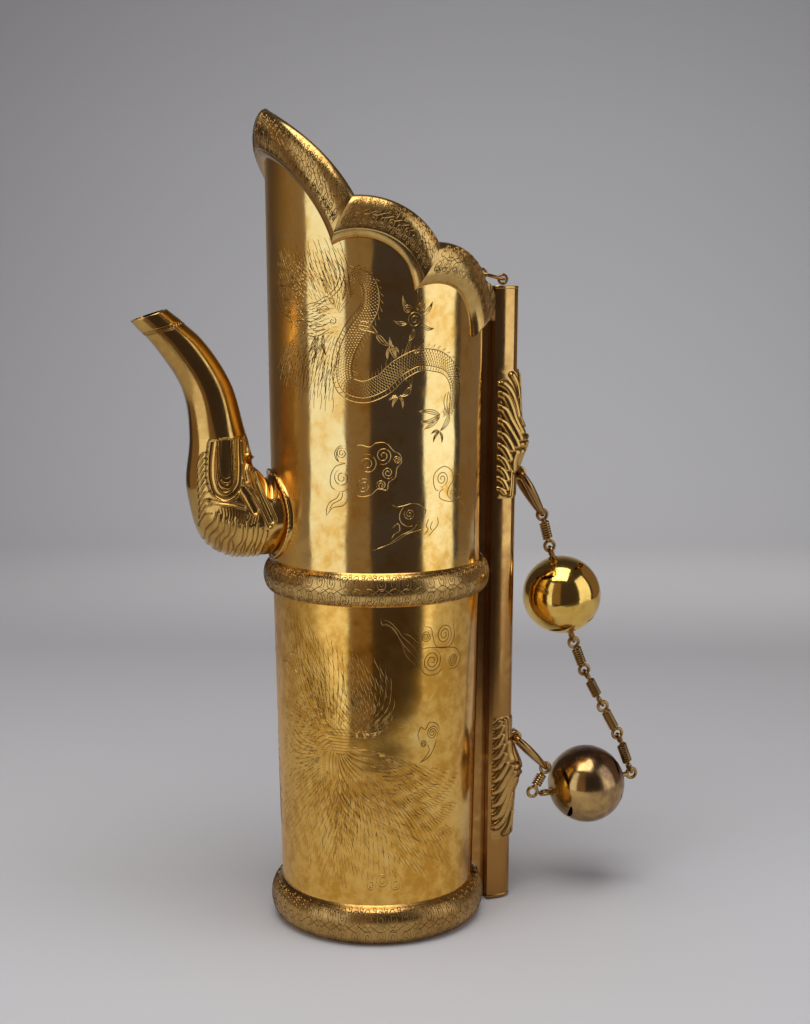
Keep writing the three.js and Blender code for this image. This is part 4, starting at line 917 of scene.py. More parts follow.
UPPER_DROOP, LOWER_DROOP = 59.0, 46.0
upper_pin = on_bar(PIN_OUT, 0.0, UPPER_PIN)
lower_pin = on_bar(PIN_OUT, 0.0, LOWER_PIN)
stirrup("upper_stirrup", upper_pin, UPPER_DROOP)
stirrup("lower_stirrup", lower_pin, LOWER_DROOP)

# %% [markdown]
# ## The chain
# Every link is a wire with an eye at each end and its tail wound back round the shank. The eyes of one
# link face the camera and those of the next stand edge-on, so that each passes through its neighbour.
# The winding is a helix with close turns, which is what makes the chain look wound and not turned.

# %% Links
# Radius of the wire, of an eye's hole and middle line, of the shank and of the thinner wound wire
WIRE = 1.0
EYE_BORE = 1.9
EYE = EYE_BORE + WIRE
SHANK = 1.8
WOUND = 0.62
WOUND_PITCH = 1.45
# Radii of the wires that hang in the eyes: a stirrup's tip and a link
TIP_PIN, WIRE_PIN = 1.4, 0.85
CLEARANCE = 0.3


def link(name, start, end, facing, pins):
    """Eyes at both ends of the line from start to end, a shank, and a helix that fills the space between
    the eyes: it climbs by 1.45 mm in each turn, at the shank's radius and half a wire more."""
    run = end - start
    length = np.linalg.norm(run)
    axis = run / length
    flat = np.cross(ACROSS, axis) if facing else ACROSS
    insets = [EYE_BORE - pin - CLEARANCE if facing else EYE for pin in pins]
    low, high = insets[0], length - insets[1]
    eyes = [oval(start + axis * at, axis, flat, EYE, EYE, WIRE) for at in (low, high)]
    stem = np.linspace(low + 2.3, high - 2.3, 9)
    bulge = np.array([0.8, 1.3, 1.7, SHANK, SHANK, SHANK, 1.7, 1.3, 0.8])
    shank = wire(start + stem[:, None] * axis, bulge, ACROSS, 16)
    turns = int((high - low - 2 * (EYE + WIRE)) / WOUND_PITCH)
    turn = np.linspace(0, 2 * np.pi * turns, 20 * turns + 1)[:, None]
    climb = (low + high) / 2 + (turn / (2 * np.pi) - turns / 2) * WOUND_PITCH
    other = np.cross(axis, ACROSS)
    helix = start + climb * axis + (SHANK + WOUND) * (np.cos(turn) * ACROSS + np.sin(turn) * other)
    body = joined([*eyes, shank, wire(helix, WOUND, axis, 8)])
    add_piece(name + "_wire", body, "wire", [name, name + "_winding"], name)


# %% The chain's course
STIRRUP_LENGTH = 29.0
BALL_REACH = 29.3
FIRST_BALL_DROOP, SECOND_BALL_DROOP = 74.8, 172.4
# Length and droop of the links from stirrup to ball and from ball to ball
HANGING = {"a": (20.0, 75.4), "b": (19.7, 67.8), "c": (24.6, 61.8), "d": (21.2, 60.9), "e": (25.6, 69.5)}
# How far ball 2's eye slides down in the loop of link e
EYE_PLAY = 0.75


def hung(pin, letter):
    """The far pin of a link that hangs from a pin."""
    length, droop = HANGING[letter]
    return pin + length * falling(droop)


upper_tip = upper_pin + STIRRUP_LENGTH * falling(UPPER_DROOP)
lower_tip = lower_pin + STIRRUP_LENGTH * falling(LOWER_DROOP)
pin_ball_1 = hung(upper_tip, "a")
pin_b = pin_ball_1 + 2 * BALL_REACH * falling(FIRST_BALL_DROOP)
pin_c = hung(pin_b, "b")
pin_d = hung(pin_c, "c")
pin_e = hung(pin_d, "d")
pin_ball_2 = hung(pin_e, "e")
ball_2_eye = pin_ball_2 + EYE_PLAY * falling(HANGING["e"][1])
free_eye = ball_2_eye + 2 * BALL_REACH * falling(SECOND_BALL_DROOP)
short_end = free_eye + np.array([-WIRE - CLEARANCE - EYE - WIRE, 0.0, WIRE])
link("link_a", upper_tip, pin_ball_1, True, (TIP_PIN, WIRE_PIN))
link("link_b", pin_b, pin_c, True, (WIRE_PIN, WIRE_PIN))
link("link_c", pin_c, pin_d, False, (WIRE_PIN, WIRE_PIN))
link("link_d", pin_d, pin_e, True, (WIRE_PIN, WIRE_PIN))
link("link_e", pin_e, pin_ball_2, False, (WIRE_PIN, WIRE_PIN))
link("link_f", lower_tip, short_end, True, (TIP_PIN, WIRE_PIN))

# %% [markdown]
# ## The hollow balls
# Each ball is two half shells, pierced by slits round both ends, with an eye at each pole. A sphere grid
# of latitude and longitude gives the shells. Two of its rows part to an almond at each slit, and the
# cells between them are left out, so the shell helper closes the slit's rim.

# %% Balls
BALL_RADIUS = 22.7
BALL_SHEET = 1.2
BALL_COLUMNS = 128
SLIT_LATITUDE = 45
SLIT_HALF = 1.3
# Half the angle that a slit covers, in radians; there are four round each end
SLIT_REACH = 0.38


def ball_half(pole):
    """Latitude rows from the seam to the stem's hole; the slit rows stand 1.3 mm * sqrt(1 - along^2) away
    from 45 degrees, where along runs from -1 to 1 over the slit."""
    longitude = np.linspace(-np.pi, np.pi, BALL_COLUMNS, endpoint=False)
    along = (np.mod(longitude, np.pi / 2) - np.pi / 4) / SLIT_REACH
    gape = np.degrees(np.maximum(0.2, SLIT_HALF * np.sqrt(np.clip(1 - along**2, 0, 1))) / BALL_RADIUS)
    rows = [np.full(BALL_COLUMNS, lat) for lat in (0.02, *np.linspace(4, 40, 10))]
    slit_row = len(rows)
    rows += [SLIT_LATITUDE - gape, SLIT_LATITUDE + gape]
    rows += [np.full(BALL_COLUMNS, lat) for lat in (50, 56, 62, 68, 74, 80, 86)]
    latitude = np.radians(np.stack(rows))
    flat = np.cos(latitude)
    ball = np.stack([flat * np.cos(longitude), flat * np.sin(longitude), np.sin(latitude) * pole], -1)
    keep = np.ones((len(rows) - 1, BALL_COLUMNS), bool)
    keep[slit_row] = np.abs((along + np.roll(along, -1)) / 2) > 1
    return shell(BALL_RADIUS * ball, (BALL_RADIUS - BALL_SHEET) * ball, keep, wrap=True)


def ball(name, first_eye, droop, finish, cross):
    """Local Z runs from the first eye to the second; a cross eye ends in a wire along Y."""
    axis = falling(droop)
    side = np.cross(ACROSS, axis)
    turn = np.stack([side, ACROSS, axis])
    centre = first_eye + BALL_REACH * axis
    for pole, half, crossing_eye in ((-1, "first", cross[0]), (1, "second", cross[1])):
        points, faces = ball_half(pole)
        cup = (centre + points @ turn, faces)
        add_piece(f"{name}_{half}_shell", cup, finish, [f"{name}_{half}_half"], name)
        reach = BALL_REACH - (EYE if crossing_eye else 0)
        eye = oval(centre + pole * reach * axis, axis, ACROSS if crossing_eye else side, EYE, EYE, WIRE)
        out = np.array([20.0, 22.3, 22.6, 23.1, 23.4, reach - EYE_BORE])
        stem = wire(centre + pole * out[:, None] * axis, [1.3, 1.3, 2.5, 2.5, 1.6, 1.2], ACROSS, 16)
        ring = joined([eye, stem])
        add_piece(f"{name}_{half}_ring", ring, "wire", [f"{name}_{half}_eye"], name)


ball("ball_1", pin_ball_1, FIRST_BALL_DROOP, "ball", (True, True))
ball("ball_2", ball_2_eye, SECOND_BALL_DROOP, "dark_ball", (False, True))

# %% [markdown]
# ## The tie at the top
# A small eye on the bar's cap and one on the rim hold a long link between them, so the bar can't part
# from the collar. All three are wire rings, made by the same helper as the eyes of the links.

# %% Rim tie
TIE_EYE, TIE_WIRE = 2.5, 0.8
# Height of the collar's upper edge at the handle
RIM_BACK = 359.4
bar_eye = on_bar(7.0, 0.0, BAR_TOP) + np.array([0.0, 0.0, 3.6])
rim_eye = np.array([float(wall_radius(RIM_BACK)) + 1.7, 0.0, RIM_BACK + 3.3])
run = bar_eye - rim_eye
ahead = run / np.linalg.norm(run)
long_half = np.linalg.norm(run) / 2 + 0.6
EAST, UP = np.array([1.0, 0.0, 0.0]), np.array([0.0, 0.0, 1.0])
for name, centre, solid in (("tie_bar_eye", bar_eye, "bar_top_eye"), ("tie_rim_eye", rim_eye, "rim_eye")):
    eye = oval(centre, EAST, UP, TIE_EYE, TIE_EYE, TIE_WIRE)
    add_piece(name, eye, "wire", [solid])
tie = oval((bar_eye + rim_eye) / 2, ahead, ACROSS, long_half, 2.4, TIE_WIRE)
add_piece("tie_long_link", tie, "wire", ["tie_link"])

# %% [markdown]
# ## Chased lines
# The smooth walls carry chased pictures: a dragon above, a phoenix below, clouds between, and a running
# vine on every moulding. A chased line is a furrow of a few tenths of a millimetre with a raised burr. As
# a bump map it would need an image, and cut into the wall it would need millions of faces. So each line
# is a thin strip, three points across: both edges just under the surface and a ridge just above it. Its
# sides lean by about 35 degrees, so they mirror another part of the room than the wall does: the line
# shines in the dark stripes and stands dark in the bright ones, as it should.


# %% Strips along lines
def chased(place, lines, width=0.6, rise=0.15):
    """One body of strips. Lines is an array of lines x points x 2 surface places; place turns them and a
    lift into space. The width shrinks to a third at both ends of a line."""
    base = place(lines[..., 0], lines[..., 1], 0.0)
    normal = place(lines[..., 0], lines[..., 1], 1.0) - base
    side = np.cross(np.gradient(base, axis=1), normal)
    side /= np.maximum(np.linalg.norm(side, axis=-1, keepdims=True), 1e-9)
    share = np.linspace(0, 1, lines.shape[1])
    half = (width / 2 * np.minimum(1, 0.3 + 6 * np.minimum(share, 1 - share)))[:, None]
    sunk = base - 0.05 * normal
    points = np.stack([sunk - half * side, base + rise * normal, sunk + half * side], 2)
    index = np.arange(points.size // 3).reshape(points.shape[:3])
    beside = np.roll(index, -1, 2)
    quads = np.stack([index[:, :-1], beside[:, :-1], beside[:, 1:], index[:, 1:]], -1).reshape(-1, 4)
    ends = np.concatenate([index[:, 0, ::-1], index[:, -1]])
    return outward(points.reshape(-1, 3), [quads, ends])


def both_sides(name, groups, width=0.6, finish="line"):
    """The same lines on the near side and, mirrored, on the far side of the wall, as two pieces."""
    for label, side in (("right", 1), ("left", -1)):
        strips = [chased(on_wall, lines * [side, 1], width, width / 4) for lines in groups]
        add_piece(f"{name}_{label}", joined(strips), finish)


# %% [markdown]
# ## Drawing with few points
# A chaser draws the outline first and then fills it with strokes of the same tool. So the pictures are
# written as a few points or rows each, and these helpers turn them into arrays of lines: smooth curves,
# spirals, hair that flows from one curve over to another, and pointed leaves.


# %% Curves, spirals and flowing hair
def drawn(*curves, count=24):
    """Smooth lines through a few points each, as one array."""
    return np.stack([smooth_through(curve, np.linspace(0, len(curve) - 1, count)) for curve in curves])


def spirals(spots, turns=1.6, count=26):
    """Spirals whose radius shrinks evenly to an eighth of its size while they turn. Each row of spots is
    centre x, centre y, size, starting turn and direction."""
    spots = np.asarray(spots, float)[:, :, None]
    share = np.linspace(0, 1, count)
    angle = spots[:, 3] * 2 * np.pi + spots[:, 4] * turns * 2 * np.pi * share
    radius = spots[:, 2] * (1 - 0.88 * share)
    return np.stack([spots[:, 0] + radius * np.cos(angle), spots[:, 1] + radius * np.sin(angle)], -1)


def strands(first, last, number, waves=6.0, sway=0.6, count=56):
    """Lines that pass from one drawn curve over to another. Line k lies k / (number - 1) of the way across
    and sways square to its course by a sine, out of step with the next."""
    one, two = drawn(first, last, count=count)
    course = one + (two - one) * np.linspace(0, 1, number)[:, None, None]
    ahead = np.gradient(course, axis=1)
    square = np.stack([-ahead[..., 1], ahead[..., 0]], -1) / np.linalg.norm(ahead, axis=-1, keepdims=True)
    share = np.linspace(0, 1, count)
    phase = waves * share + 0.618 * np.arange(number)[:, None]
    wave = sway * np.sin(2 * np.pi * phase) * np.minimum(1, 4 * share)
    return course + wave[..., None] * square


def cut_up(lines, step, reach):
    """Lines cut into strokes of reach points, one in each step; every line starts at another place."""
    first = np.arange(0, lines.shape[1] - reach - step, step)
    shift = np.arange(len(lines)) * 5 % step
    index = (first + shift[:, None])[..., None] + np.arange(reach)
    return lines[np.arange(len(lines))[:, None, None], index].reshape(-1, reach, 2)


# %% Leaves and plumes
def pointed(vein, width):
    """Pointed leaves round veins: two edges that part at the root, swell and meet at the tip. A share t
    along the vein, they stand width * sin(pi * t^0.8) * (1 - 0.4 t) away from it."""
    ahead = np.gradient(vein, axis=1)
    square = np.stack([-ahead[..., 1], ahead[..., 0]], -1) / np.linalg.norm(ahead, axis=-1, keepdims=True)
    share = np.linspace(0, 1, vein.shape[1])[:, None]
    edge = width * np.sin(np.pi * share**0.8) * (1 - 0.4 * share) * square
    return np.concatenate([vein + edge, vein - edge, vein])


def leaves(rows):
    """Flame-shaped leaves; each row is root, tip, width and how far the vein bends aside, as half a sine."""
    rows = np.asarray(rows, float)
    share = np.linspace(0, 1, 12)[:, None]
    root, tip = rows[:, None, 0:2], rows[:, None, 2:4]
    square = np.stack([root[..., 1] - tip[..., 1], tip[..., 0] - root[..., 0]], -1)
    square /= np.linalg.norm(square, axis=-1, keepdims=True)
    vein = root + (tip - root) * share + rows[:, 5, None, None] * np.sin(np.pi * share) * square
    return pointed(vein, rows[:, 4, None, None])


def plumes(families, step, reach):
    """Hair or feathers from families of strands: each strand in strokes, only every other one close to
    its root, where the strands crowd, and pointed locks twice as long along every fourth one."""
    groups = []
    for lines in families:
        groups += [cut_up(lines[0::2], step, reach), cut_up(lines[1::2, 16:], step, reach)]
        groups.append(pointed(cut_up(lines[1::4, 10:], 2 * step, 2 * reach), 0.8))
    return groups


# %% [markdown]
# ## The dragon
# On the upper wall a scaled dragon winds round a flaming pearl and faces the spout. Its body is a spine
# with a half width. A place along the spine and across it gives the outline, the rows of scales, the
# belly plates and the fin, all as whole arrays of short lines.

# %% Dragon body
SPINE = [
    (63.5, 363), (74, 358), (75.5, 346), (66, 331), (60.5, 317), (62.5, 305), (71.5, 301.5),
    (82, 305), (91.5, 313), (104, 318), (120, 314), (126, 304), (124, 293.5), (115.5, 289),
]
spine = smooth_through(SPINE, np.linspace(0, len(SPINE) - 1, 600))
steps = np.linalg.norm(np.diff(spine, axis=0), axis=1)
run = np.concatenate([[0], np.cumsum(steps)])
heading = np.gradient(spine, axis=0) / np.linalg.norm(np.gradient(spine, axis=0), axis=1, keepdims=True)


def on_body(along, across):
    """A place on the dragon: mm along its spine, and -1 to 1 across it. The half width is 5.6 mm,
    less towards the neck and the tail."""
    half = 5.6 * np.minimum(1, 0.62 + along / 110) * np.minimum(1, 0.32 + (run[-1] - along) / 60)
    x, z, east, north = (np.interp(along, run, values) for values in (*spine.T, *heading.T))
    return np.stack([x - north * across * half, z + east * across * half], -1)


length = run[-1]
side_lines = on_body(np.linspace(0, length, 150) + np.zeros((3, 1)), np.array([[-1.0], [-0.55], [1.0]]))
row, column = (grid.ravel()[:, None] for grid in np.meshgrid(np.arange(2.0, length - 3, 1.5), np.arange(6)))
bow = np.linspace(-1.25, 1.25, 5)
scales = on_body(row + 0.75 * (column % 2) + 0.9 * np.cos(bow), -0.42 + 0.25 * column + 0.135 * np.sin(bow))
plates = on_body(np.arange(2.0, length - 3, 2.0)[:, None] + [0, 0.5, 0.8], np.array([[-1.0, -0.77, -0.55]]))
fin = on_body(np.arange(3.0, length - 4, 2.8)[:, None] + [0, 2.6, 1.6], np.array([[1.0, 1.5, 1.0]]))
print("dragon:", round(length), "mm long,", len(scales), "scales,", len(plates), "belly plates")

# %% Dragon head
head_lines = drawn(
    [(58, 349), (52, 350.5), (46, 347.5), (41, 346.5), (37, 343.5), (35.5, 339.5), (38, 338)],
    [(38, 338), (42, 337.2), (46, 335.2), (50, 335.4), (54, 337.5)],
    [(54, 334), (49, 331.2), (44, 329.8), (39.5, 331), (37.5, 333.6), (40, 334.2)],
    [(50, 333.4), (44, 333), (40, 335.8), (36, 334.8)],
    [(43.5, 345), (46.5, 346.8), (51, 346.2), (54, 343.6)],
    [(37, 341), (31, 345), (29, 352), (33, 357)],
    [(38, 338), (31, 337), (27, 332), (29, 326)],
    [(52, 350), (58, 356), (60, 363), (58, 369)],
    [(53.6, 349), (60, 355), (62, 363), (58, 369)],
)
head_curls = spirals([(38.6, 342, 1.6, 0, 1), (47.5, 343.2, 1.8, 0, 1), (55.5, 338, 2.4, 0.3, -1)], turns=1.3)
print("head lines:", len(head_lines), "curls:", len(head_curls))

# %% Dragon mane
# Edges between its tufts, from the root of the hair to its tips, and of the hair on the cheek
nape = [(60, 341), (67, 352), (64, 368), (54, 388)]
crown = [(56, 346), (50, 357), (42, 368), (37, 384)]
forehead = [(38, 350), (30, 358), (22, 366), (14, 378)]
muzzle = [(34, 334), (26, 338), (18, 342), (8, 344)]
chin = [(34, 332), (25, 325), (16, 316), (7, 306)]
jaw = [(54, 331), (46, 322), (40, 308), (36, 286)]
throat = [(61, 329), (59, 316), (56, 303), (54, 284)]
cheek_top = [(62, 347), (53, 349), (44, 346), (35, 344)]
cheek_foot = [(61, 330), (52, 331), (43, 331), (34, 333)]
mane = plumes([
    strands(cheek_top, cheek_foot, 20, 3),
    strands(crown, nape, 24, 3),
    strands(forehead, crown, 26, 3),
    strands(muzzle, forehead, 24, 3),
    strands(jaw, throat, 20, 3),
    strands(chin, jaw, 34, 3),
], 10, 9)
print("mane families:", len(mane) // 3, "strokes:", sum(len(group) for group in mane))

# %% Dragon legs and pearl
limbs = leaves([
    (68, 336, 80, 331, 2.6, 1.5), (79, 332, 86.5, 325, 1.5, -1), (92, 314, 97.5, 303, 2.6, 1.5),
    (97.5, 304, 91, 299, 1.5, 1), (121, 301, 122, 288, 2.6, -1.5), (122, 289, 115, 280, 1.5, 1),
    (86.5, 325, 91, 321, 0.7, 1), (86.5, 325, 89, 318.5, 0.7, 1), (86.5, 325, 85, 318, 0.7, -1),
    (91, 299, 85.5, 297, 0.7, -1), (91, 299, 87.5, 293.5, 0.7, -1), (91, 299, 93, 293, 0.7, 1),
    (115, 280, 109.5, 279, 0.7, -1), (115, 280, 111, 274.5, 0.7, -1), (115, 280, 116.5, 274, 0.7, 1),
    (115.3, 288.8, 103, 286, 1.3, 1.5), (115.3, 288.8, 104, 281.5, 1.3, 1), (115.3, 288.8, 102, 291, 1.3, -1),
    (45, 330, 40, 321, 1, 1), (47, 330, 45.5, 318.5, 1, -1), (50, 331, 51.5, 320, 1, -1),
    (90, 318, 86, 330, 1.2, 1), (94, 320, 97, 331, 1.2, -1), (99, 321, 105, 329, 1.2, -1),
])
pearl_curls = [(99.5, 338.5, 4.4, 0, 1), (103.5, 345, 2.4, 0.5, -1), (95.5, 344, 2.4, 0, 1)]
pearl = spirals(pearl_curls, turns=2.1, count=40)
flames = leaves([
    (97, 342, 93, 351, 1.1, 1), (101, 343, 101, 354, 1.1, -1), (104, 341, 110, 348, 1.1, -1),
    (95.5, 337, 88, 338.5, 1.1, 1), (103.5, 336, 111, 334, 1.1, -1), (99, 334, 96, 327.5, 1.1, 1),
])
both_sides("dragon_chasing", [side_lines, scales, plates, fin, head_lines, head_curls, limbs, pearl, flames])
both_sides("dragon_mane_chasing", mane, 0.40)

# %% [markdown]
# ## Clouds
# Small clouds float round both beasts. Each is a bunch of spirals inside a scalloped outline, with wisps
# that stream away from it, which is the old way to draw a cloud with one tool.

# %% Clouds by the dragon
upper_curls = [
    (60, 269.5, 3.0, 0.2, 1), (60, 256.5, 4.6, 0.3, 1), (74, 264, 5.4, 0.3, -1),
    (82.5, 268.5, 4.7, 0.7, 1), (90, 266, 2.2, 0.5, -1), (85, 259.5, 3.3, 0.9, -1),
    (72, 252.5, 4.1, 0.1, 1), (81.5, 253, 2.7, 0.6, -1), (117, 255, 4.4, 0.7, 1),
    (125, 246.5, 3.0, 0.2, -1), (97, 237.5, 3.2, 0.4, 1),
]
upper_edges = [
    [(64.5, 272.5), (70, 274), (75.5, 273), (78.5, 275), (84, 275), (88, 271), (91.5, 269), (92.5, 265),
     (90, 262), (89, 257), (85.5, 254.5), (84.5, 250.5), (79.5, 251), (76, 248), (70, 247),
     (65.5, 249.5)],
    [(63, 273.5), (58.5, 273), (56, 269.5), (57.5, 265.5), (62, 264.5), (56.5, 262.5), (53.5, 257.5),
     (54, 251.5), (60.5, 249.5), (65, 251.5)],
    [(117.5, 250.5), (113.5, 249), (111.5, 252.5), (112, 258), (118.5, 261.5), (124.5, 258),
     (125, 253.5), (122, 250), (121, 246.5), (124.5, 243), (130, 244), (131.5, 246.5), (130.5, 249)],
]
upper_wisps = [
    [(59, 249.5), (57, 246), (53, 243.5), (51, 240.5), (50.5, 236)],
    [(60.5, 249.5), (59.5, 245.5), (54.5, 242.5), (52.5, 239.5)],
    [(65.5, 248.5), (63.5, 245.5), (60.5, 242), (54.5, 240.5), (50.5, 236)],
    [(63, 272), (58.5, 272), (57, 269), (58.5, 265), (62, 264.5)],
    [(119, 250), (115.5, 248), (115.5, 245), (122, 242.5), (129.5, 242)],
    [(126, 257.5), (131, 256), (132.5, 253.5)],
    [(129.5, 242.5), (134, 240.5), (136.5, 235.5)],
    [(104.5, 229), (96, 227), (88.5, 223), (77, 218.5)],
    [(101.5, 232), (98.5, 229), (91.5, 226), (85, 221.5), (77, 218.5)],
    [(94, 242), (91.5, 237.5), (92, 233.5), (95.5, 231), (99, 231)],
    [(87, 243), (89.5, 241.5), (94, 242), (98.5, 243), (103, 242), (106.5, 239), (105.5, 235)],
    [(87, 230), (90.5, 232.5), (91.5, 229), (88.5, 227), (87, 224.5)],
    [(108.5, 234.5), (107, 230.5), (108, 228.5), (105.5, 226)],
    [(114, 235), (114.5, 231), (110.5, 227), (108.5, 225)],
    [(111, 233), (109.5, 229.5), (110.5, 228)],
]
upper_clouds = [spirals(upper_curls, 2.0, 44), drawn(*upper_edges, count=64), drawn(*upper_wisps)]
both_sides("upper_cloud_chasing", upper_clouds)

# %% Clouds by the phoenix
lower_curls = [
    (120, 170.5, 6.0, 0.75, 1), (111.5, 157, 6.6, 0.25, -1), (127.5, 155.5, 3.8, 0.4, 1),
    (107.5, 171, 3.4, 0.2, -1), (112.5, 117, 4.0, 0.9, 1), (106.5, 111.5, 2.2, 0.5, -1),
]
lower_edges = [
    [(106.5, 176.5), (110.5, 175), (112, 170), (114, 165), (117, 163.5), (124, 163.5), (128, 168),
     (127, 176)],
    [(103.5, 164), (109, 164.5), (114.5, 164), (123.5, 163), (130.5, 161), (134, 156), (131, 151),
     (124, 151)],
    [(102.5, 161), (104, 154.5), (107.5, 150), (115, 149.5), (120, 153)],
    [(81, 182), (86, 180), (90.5, 175.5), (93, 172), (98.5, 167), (103.5, 161)],
    [(83, 178.5), (88, 176.5), (92, 170), (95.5, 165.5), (100.5, 160.5)],
    [(81, 182), (82, 178.5), (85, 178.5), (89, 174.5), (93, 168), (95.5, 161.5), (100.5, 156)],
    [(93.5, 173.5), (97.5, 172), (101.5, 168.5), (104.5, 166.5)],
    [(104, 113.5), (103, 117), (105, 121), (107.5, 119.5), (110.5, 123), (115.5, 121.5), (118, 117.5)],
    [(109, 111), (110.5, 108), (108.5, 104.5), (104, 101)],
    [(115.5, 112.5), (113.5, 108), (110.5, 104), (104, 101)],
]
lower_clouds = [spirals(lower_curls, 2.6, 60), drawn(*lower_edges, count=44)]
both_sides("lower_cloud_chasing", lower_clouds, finish="vine")

# %% [markdown]
# ## The phoenix
# The lower wall belongs to a phoenix with raised wings and a tail that streams over the whole side. Its
# feathers are strands again: families of wavy lines that spread from the body, cut into short strokes.

# %% Phoenix feathers
# Edges between the wings and the tail, from the body to the feathers' tips
raised_wing = [(64, 116), (79, 118), (88, 131), (82, 166)]
breast = [(54, 117), (43, 133), (29, 156), (16, 196)]
front_wing = [(52, 110), (36, 97), (17, 77), (-4, 50)]
legs = [(56, 107), (55, 80), (53, 54), (49, 22)]
lower_tail = [(60, 108), (83, 86), (108, 64), (136, 32)]
upper_tail = [(62, 112), (87, 106), (112, 97), (144, 90)]
feathers = plumes([
    strands(breast, raised_wing, 56, 8),
    strands(front_wing, breast, 54, 8),
    strands(upper_tail, lower_tail, 40, 9),
    strands(lower_tail, legs, 58, 9),
    strands(legs, front_wing, 44, 9),
], 6, 5)
print("feather families:", len(feathers) // 3, "strokes:", sum(len(group) for group in feathers))

# %% Phoenix body and head
east, north = np.meshgrid(np.arange(50.0, 66, 1.8), np.arange(106.0, 122, 1.7))
inside = ((east - 57.5) / 8.5) ** 2 + ((north - 113) / 7.5) ** 2 < 1
east, north = east[inside][:, None], north[inside][:, None]
stagger = 0.9 * (np.round(north / 1.7) % 2)
bow = np.linspace(-1.2, 1.2, 5)
plumage = np.stack([east + stagger + 0.9 * np.sin(bow), north + np.cos(bow)], -1)
bird_head = drawn(
    [(34, 152), (28, 158), (21, 158.5), (16, 155.5), (11, 152), (16, 152.5), (22, 151), (27, 148)],
    [(21.5, 155.6), (20.3, 156.4), (19.2, 155.6), (20.3, 154.8), (21.5, 155.6)],
    [(24, 158.5), (22, 163), (25, 167), (22, 171)],
    [(27, 158), (28, 163), (31, 167), (30, 172)],
    [(18, 151.6), (16, 148), (18, 145), (16, 141)],
)
water = [(82, 36, 4.2, 0.2, 1), (90, 33.5, 3.2, 0.4, 1), (75, 33.5, 3.0, 0.1, -1), (120, 60, 3.0, 0.4, 1)]
waves = spirals(water, 2.0)
both_sides("phoenix_chasing", [plumage, bird_head, waves], 0.5)
both_sides("phoenix_feather_chasing", feathers, 0.35)

# %% [markdown]
# ## Running vines
# Both mouldings and the whole collar carry a vine: a wavy stem with spirals in each bend and small
# curls between the bends. The vine is drawn once on a straight strip and laid on each piece: round the
# rings, and along every lobe.


# %% Vines
def vine(length, bends):
    """A vine on a strip: x from 0 to length, y from -1 to 1 across. In each bend a large spiral turns on
    one side of the stem and a small one on the other, and tendrils curl between the bends. The same
    vine, turned over, fills the spaces."""
    pitch = length / bends
    along = np.linspace(0, length, 12 * bends + 1)
    stem = np.stack([along, 0.14 * np.sin(np.pi * along / pitch)], -1)
    bend = np.arange(bends)
    side = np.where(bend % 2, -1.0, 1.0)
    middle = (bend + 0.5) * pitch
    turning = np.stack([0 * side, 0 * side, 1 + 0 * side, 0.75 + 0 * side, side], -1)
    lines = [stem[None]]
    for size, offset, turns in ((0.44, 0.40, 1.9), (0.27, -0.64, 1.5)):
        spots = np.stack([middle, offset * side], -1)[:, None]
        lines.append(spirals(turning, turns, 22) * [size * pitch, size * 1.05] + spots)
    for edge in (0.72, -0.72):
        spots = np.stack([bend[1:] * pitch, edge + 0.1 * side[1:]], -1)[:, None]
        lines.append(spirals(turning[1:], 1.2, 14) * [0.2 * pitch, 0.2] + spots)
    return lines + [group * [1, -1] for group in lines]


def on_ring(ring):
    """Places round a moulding; the second value is -1 to 1 along the curve of its section."""
    def place(around, across, lift):
        level, stand = moulding(np.sin(across * 1.25), *ring)
        return on_wall(around, level + lift * across, stand + 0.02 + lift)
    return place


# %% Vines on the rings
for name, ring, bends in (("foot_ring_vine", BASE_RING, 54), ("middle_ring_vine", MID_RING, 58)):
    lines = [group - [HALF_ROUND, 0] for group in vine(2 * HALF_ROUND, bends)]
    add_piece(name, joined([chased(on_ring(ring), group, 0.55) for group in lines]), "vine")


# %% Vines on the collar
def on_lobe(number, side):
    """Places on a lobe: share of its length between the mitres, and -1 to 1 over its engraved face."""
    def place(share, across, lift):
        across = 0.19 + 0.74 * across
        lobe = LOBES[number]
        start, end = lobe_ends(number, across)
        turn = start + (end - start) * (0.02 + 0.96 * share)
        half = collar_half(lobe[0] + lobe[2] * np.sin(turn))
        steep = across / np.sqrt(np.clip(1 - across**2, 0.05, 1))
        slope = np.clip(steep, -1.5, 1.5) * COLLAR_BULGE / COLLAR_HALF
        spot = on_collar(lobe, turn, across + lift * slope / half, collar_lift(across) + 0.03 + lift, half)
        return spot * [1, side, 1]
    return place


collar_lines = []
for number, bends in enumerate((17, 12, 10, 28)):
    for side in (1, -1) if number < 3 else (1,):
        collar_lines += [chased(on_lobe(number, side), group, 0.55) for group in vine(1.0, bends)]
add_piece("collar_vine", joined(collar_lines), "vine")

# %% Band below the spout's mouth
turn = np.linspace(-np.pi, np.pi, 97)
hoops = np.stack([np.stack([np.full(97, at), turn], -1) for at in (7.47, 7.50, 7.60, 7.62)])
weave = np.stack([np.stack([7.55 + 0.045 * np.sin(12 * turn + shift), turn], -1) for shift in (0, 2.1, 4.2)])


def on_spout(station, angle, lift):
    """Places round the spout's mouth, on its face or, past the lip's start, on its lip."""
    return spout_place(station, angle, grow=0.35 * (station > LIP_START) + 0.02 + lift, corners=1.0)


add_piece("spout_band_lines", joined([chased(on_spout, lines, 0.35) for lines in (hoops, weave)]), "line")

# %% [markdown]
# ## Stage and light
# The photograph has a pale grey table, a backdrop that darkens upwards, two tall soft boxes beside the
# camera and one overhead. One bent sheet makes table and backdrop, so that no edge shows between them.
# Polished metal shows the room it stands in, so the boxes are where their bright stripes on the wall say,
# and the dark stripe between them is the unlit room behind the camera. Dim warm lamps stand for the room's
# walls, which tint the edges of that dark stripe.

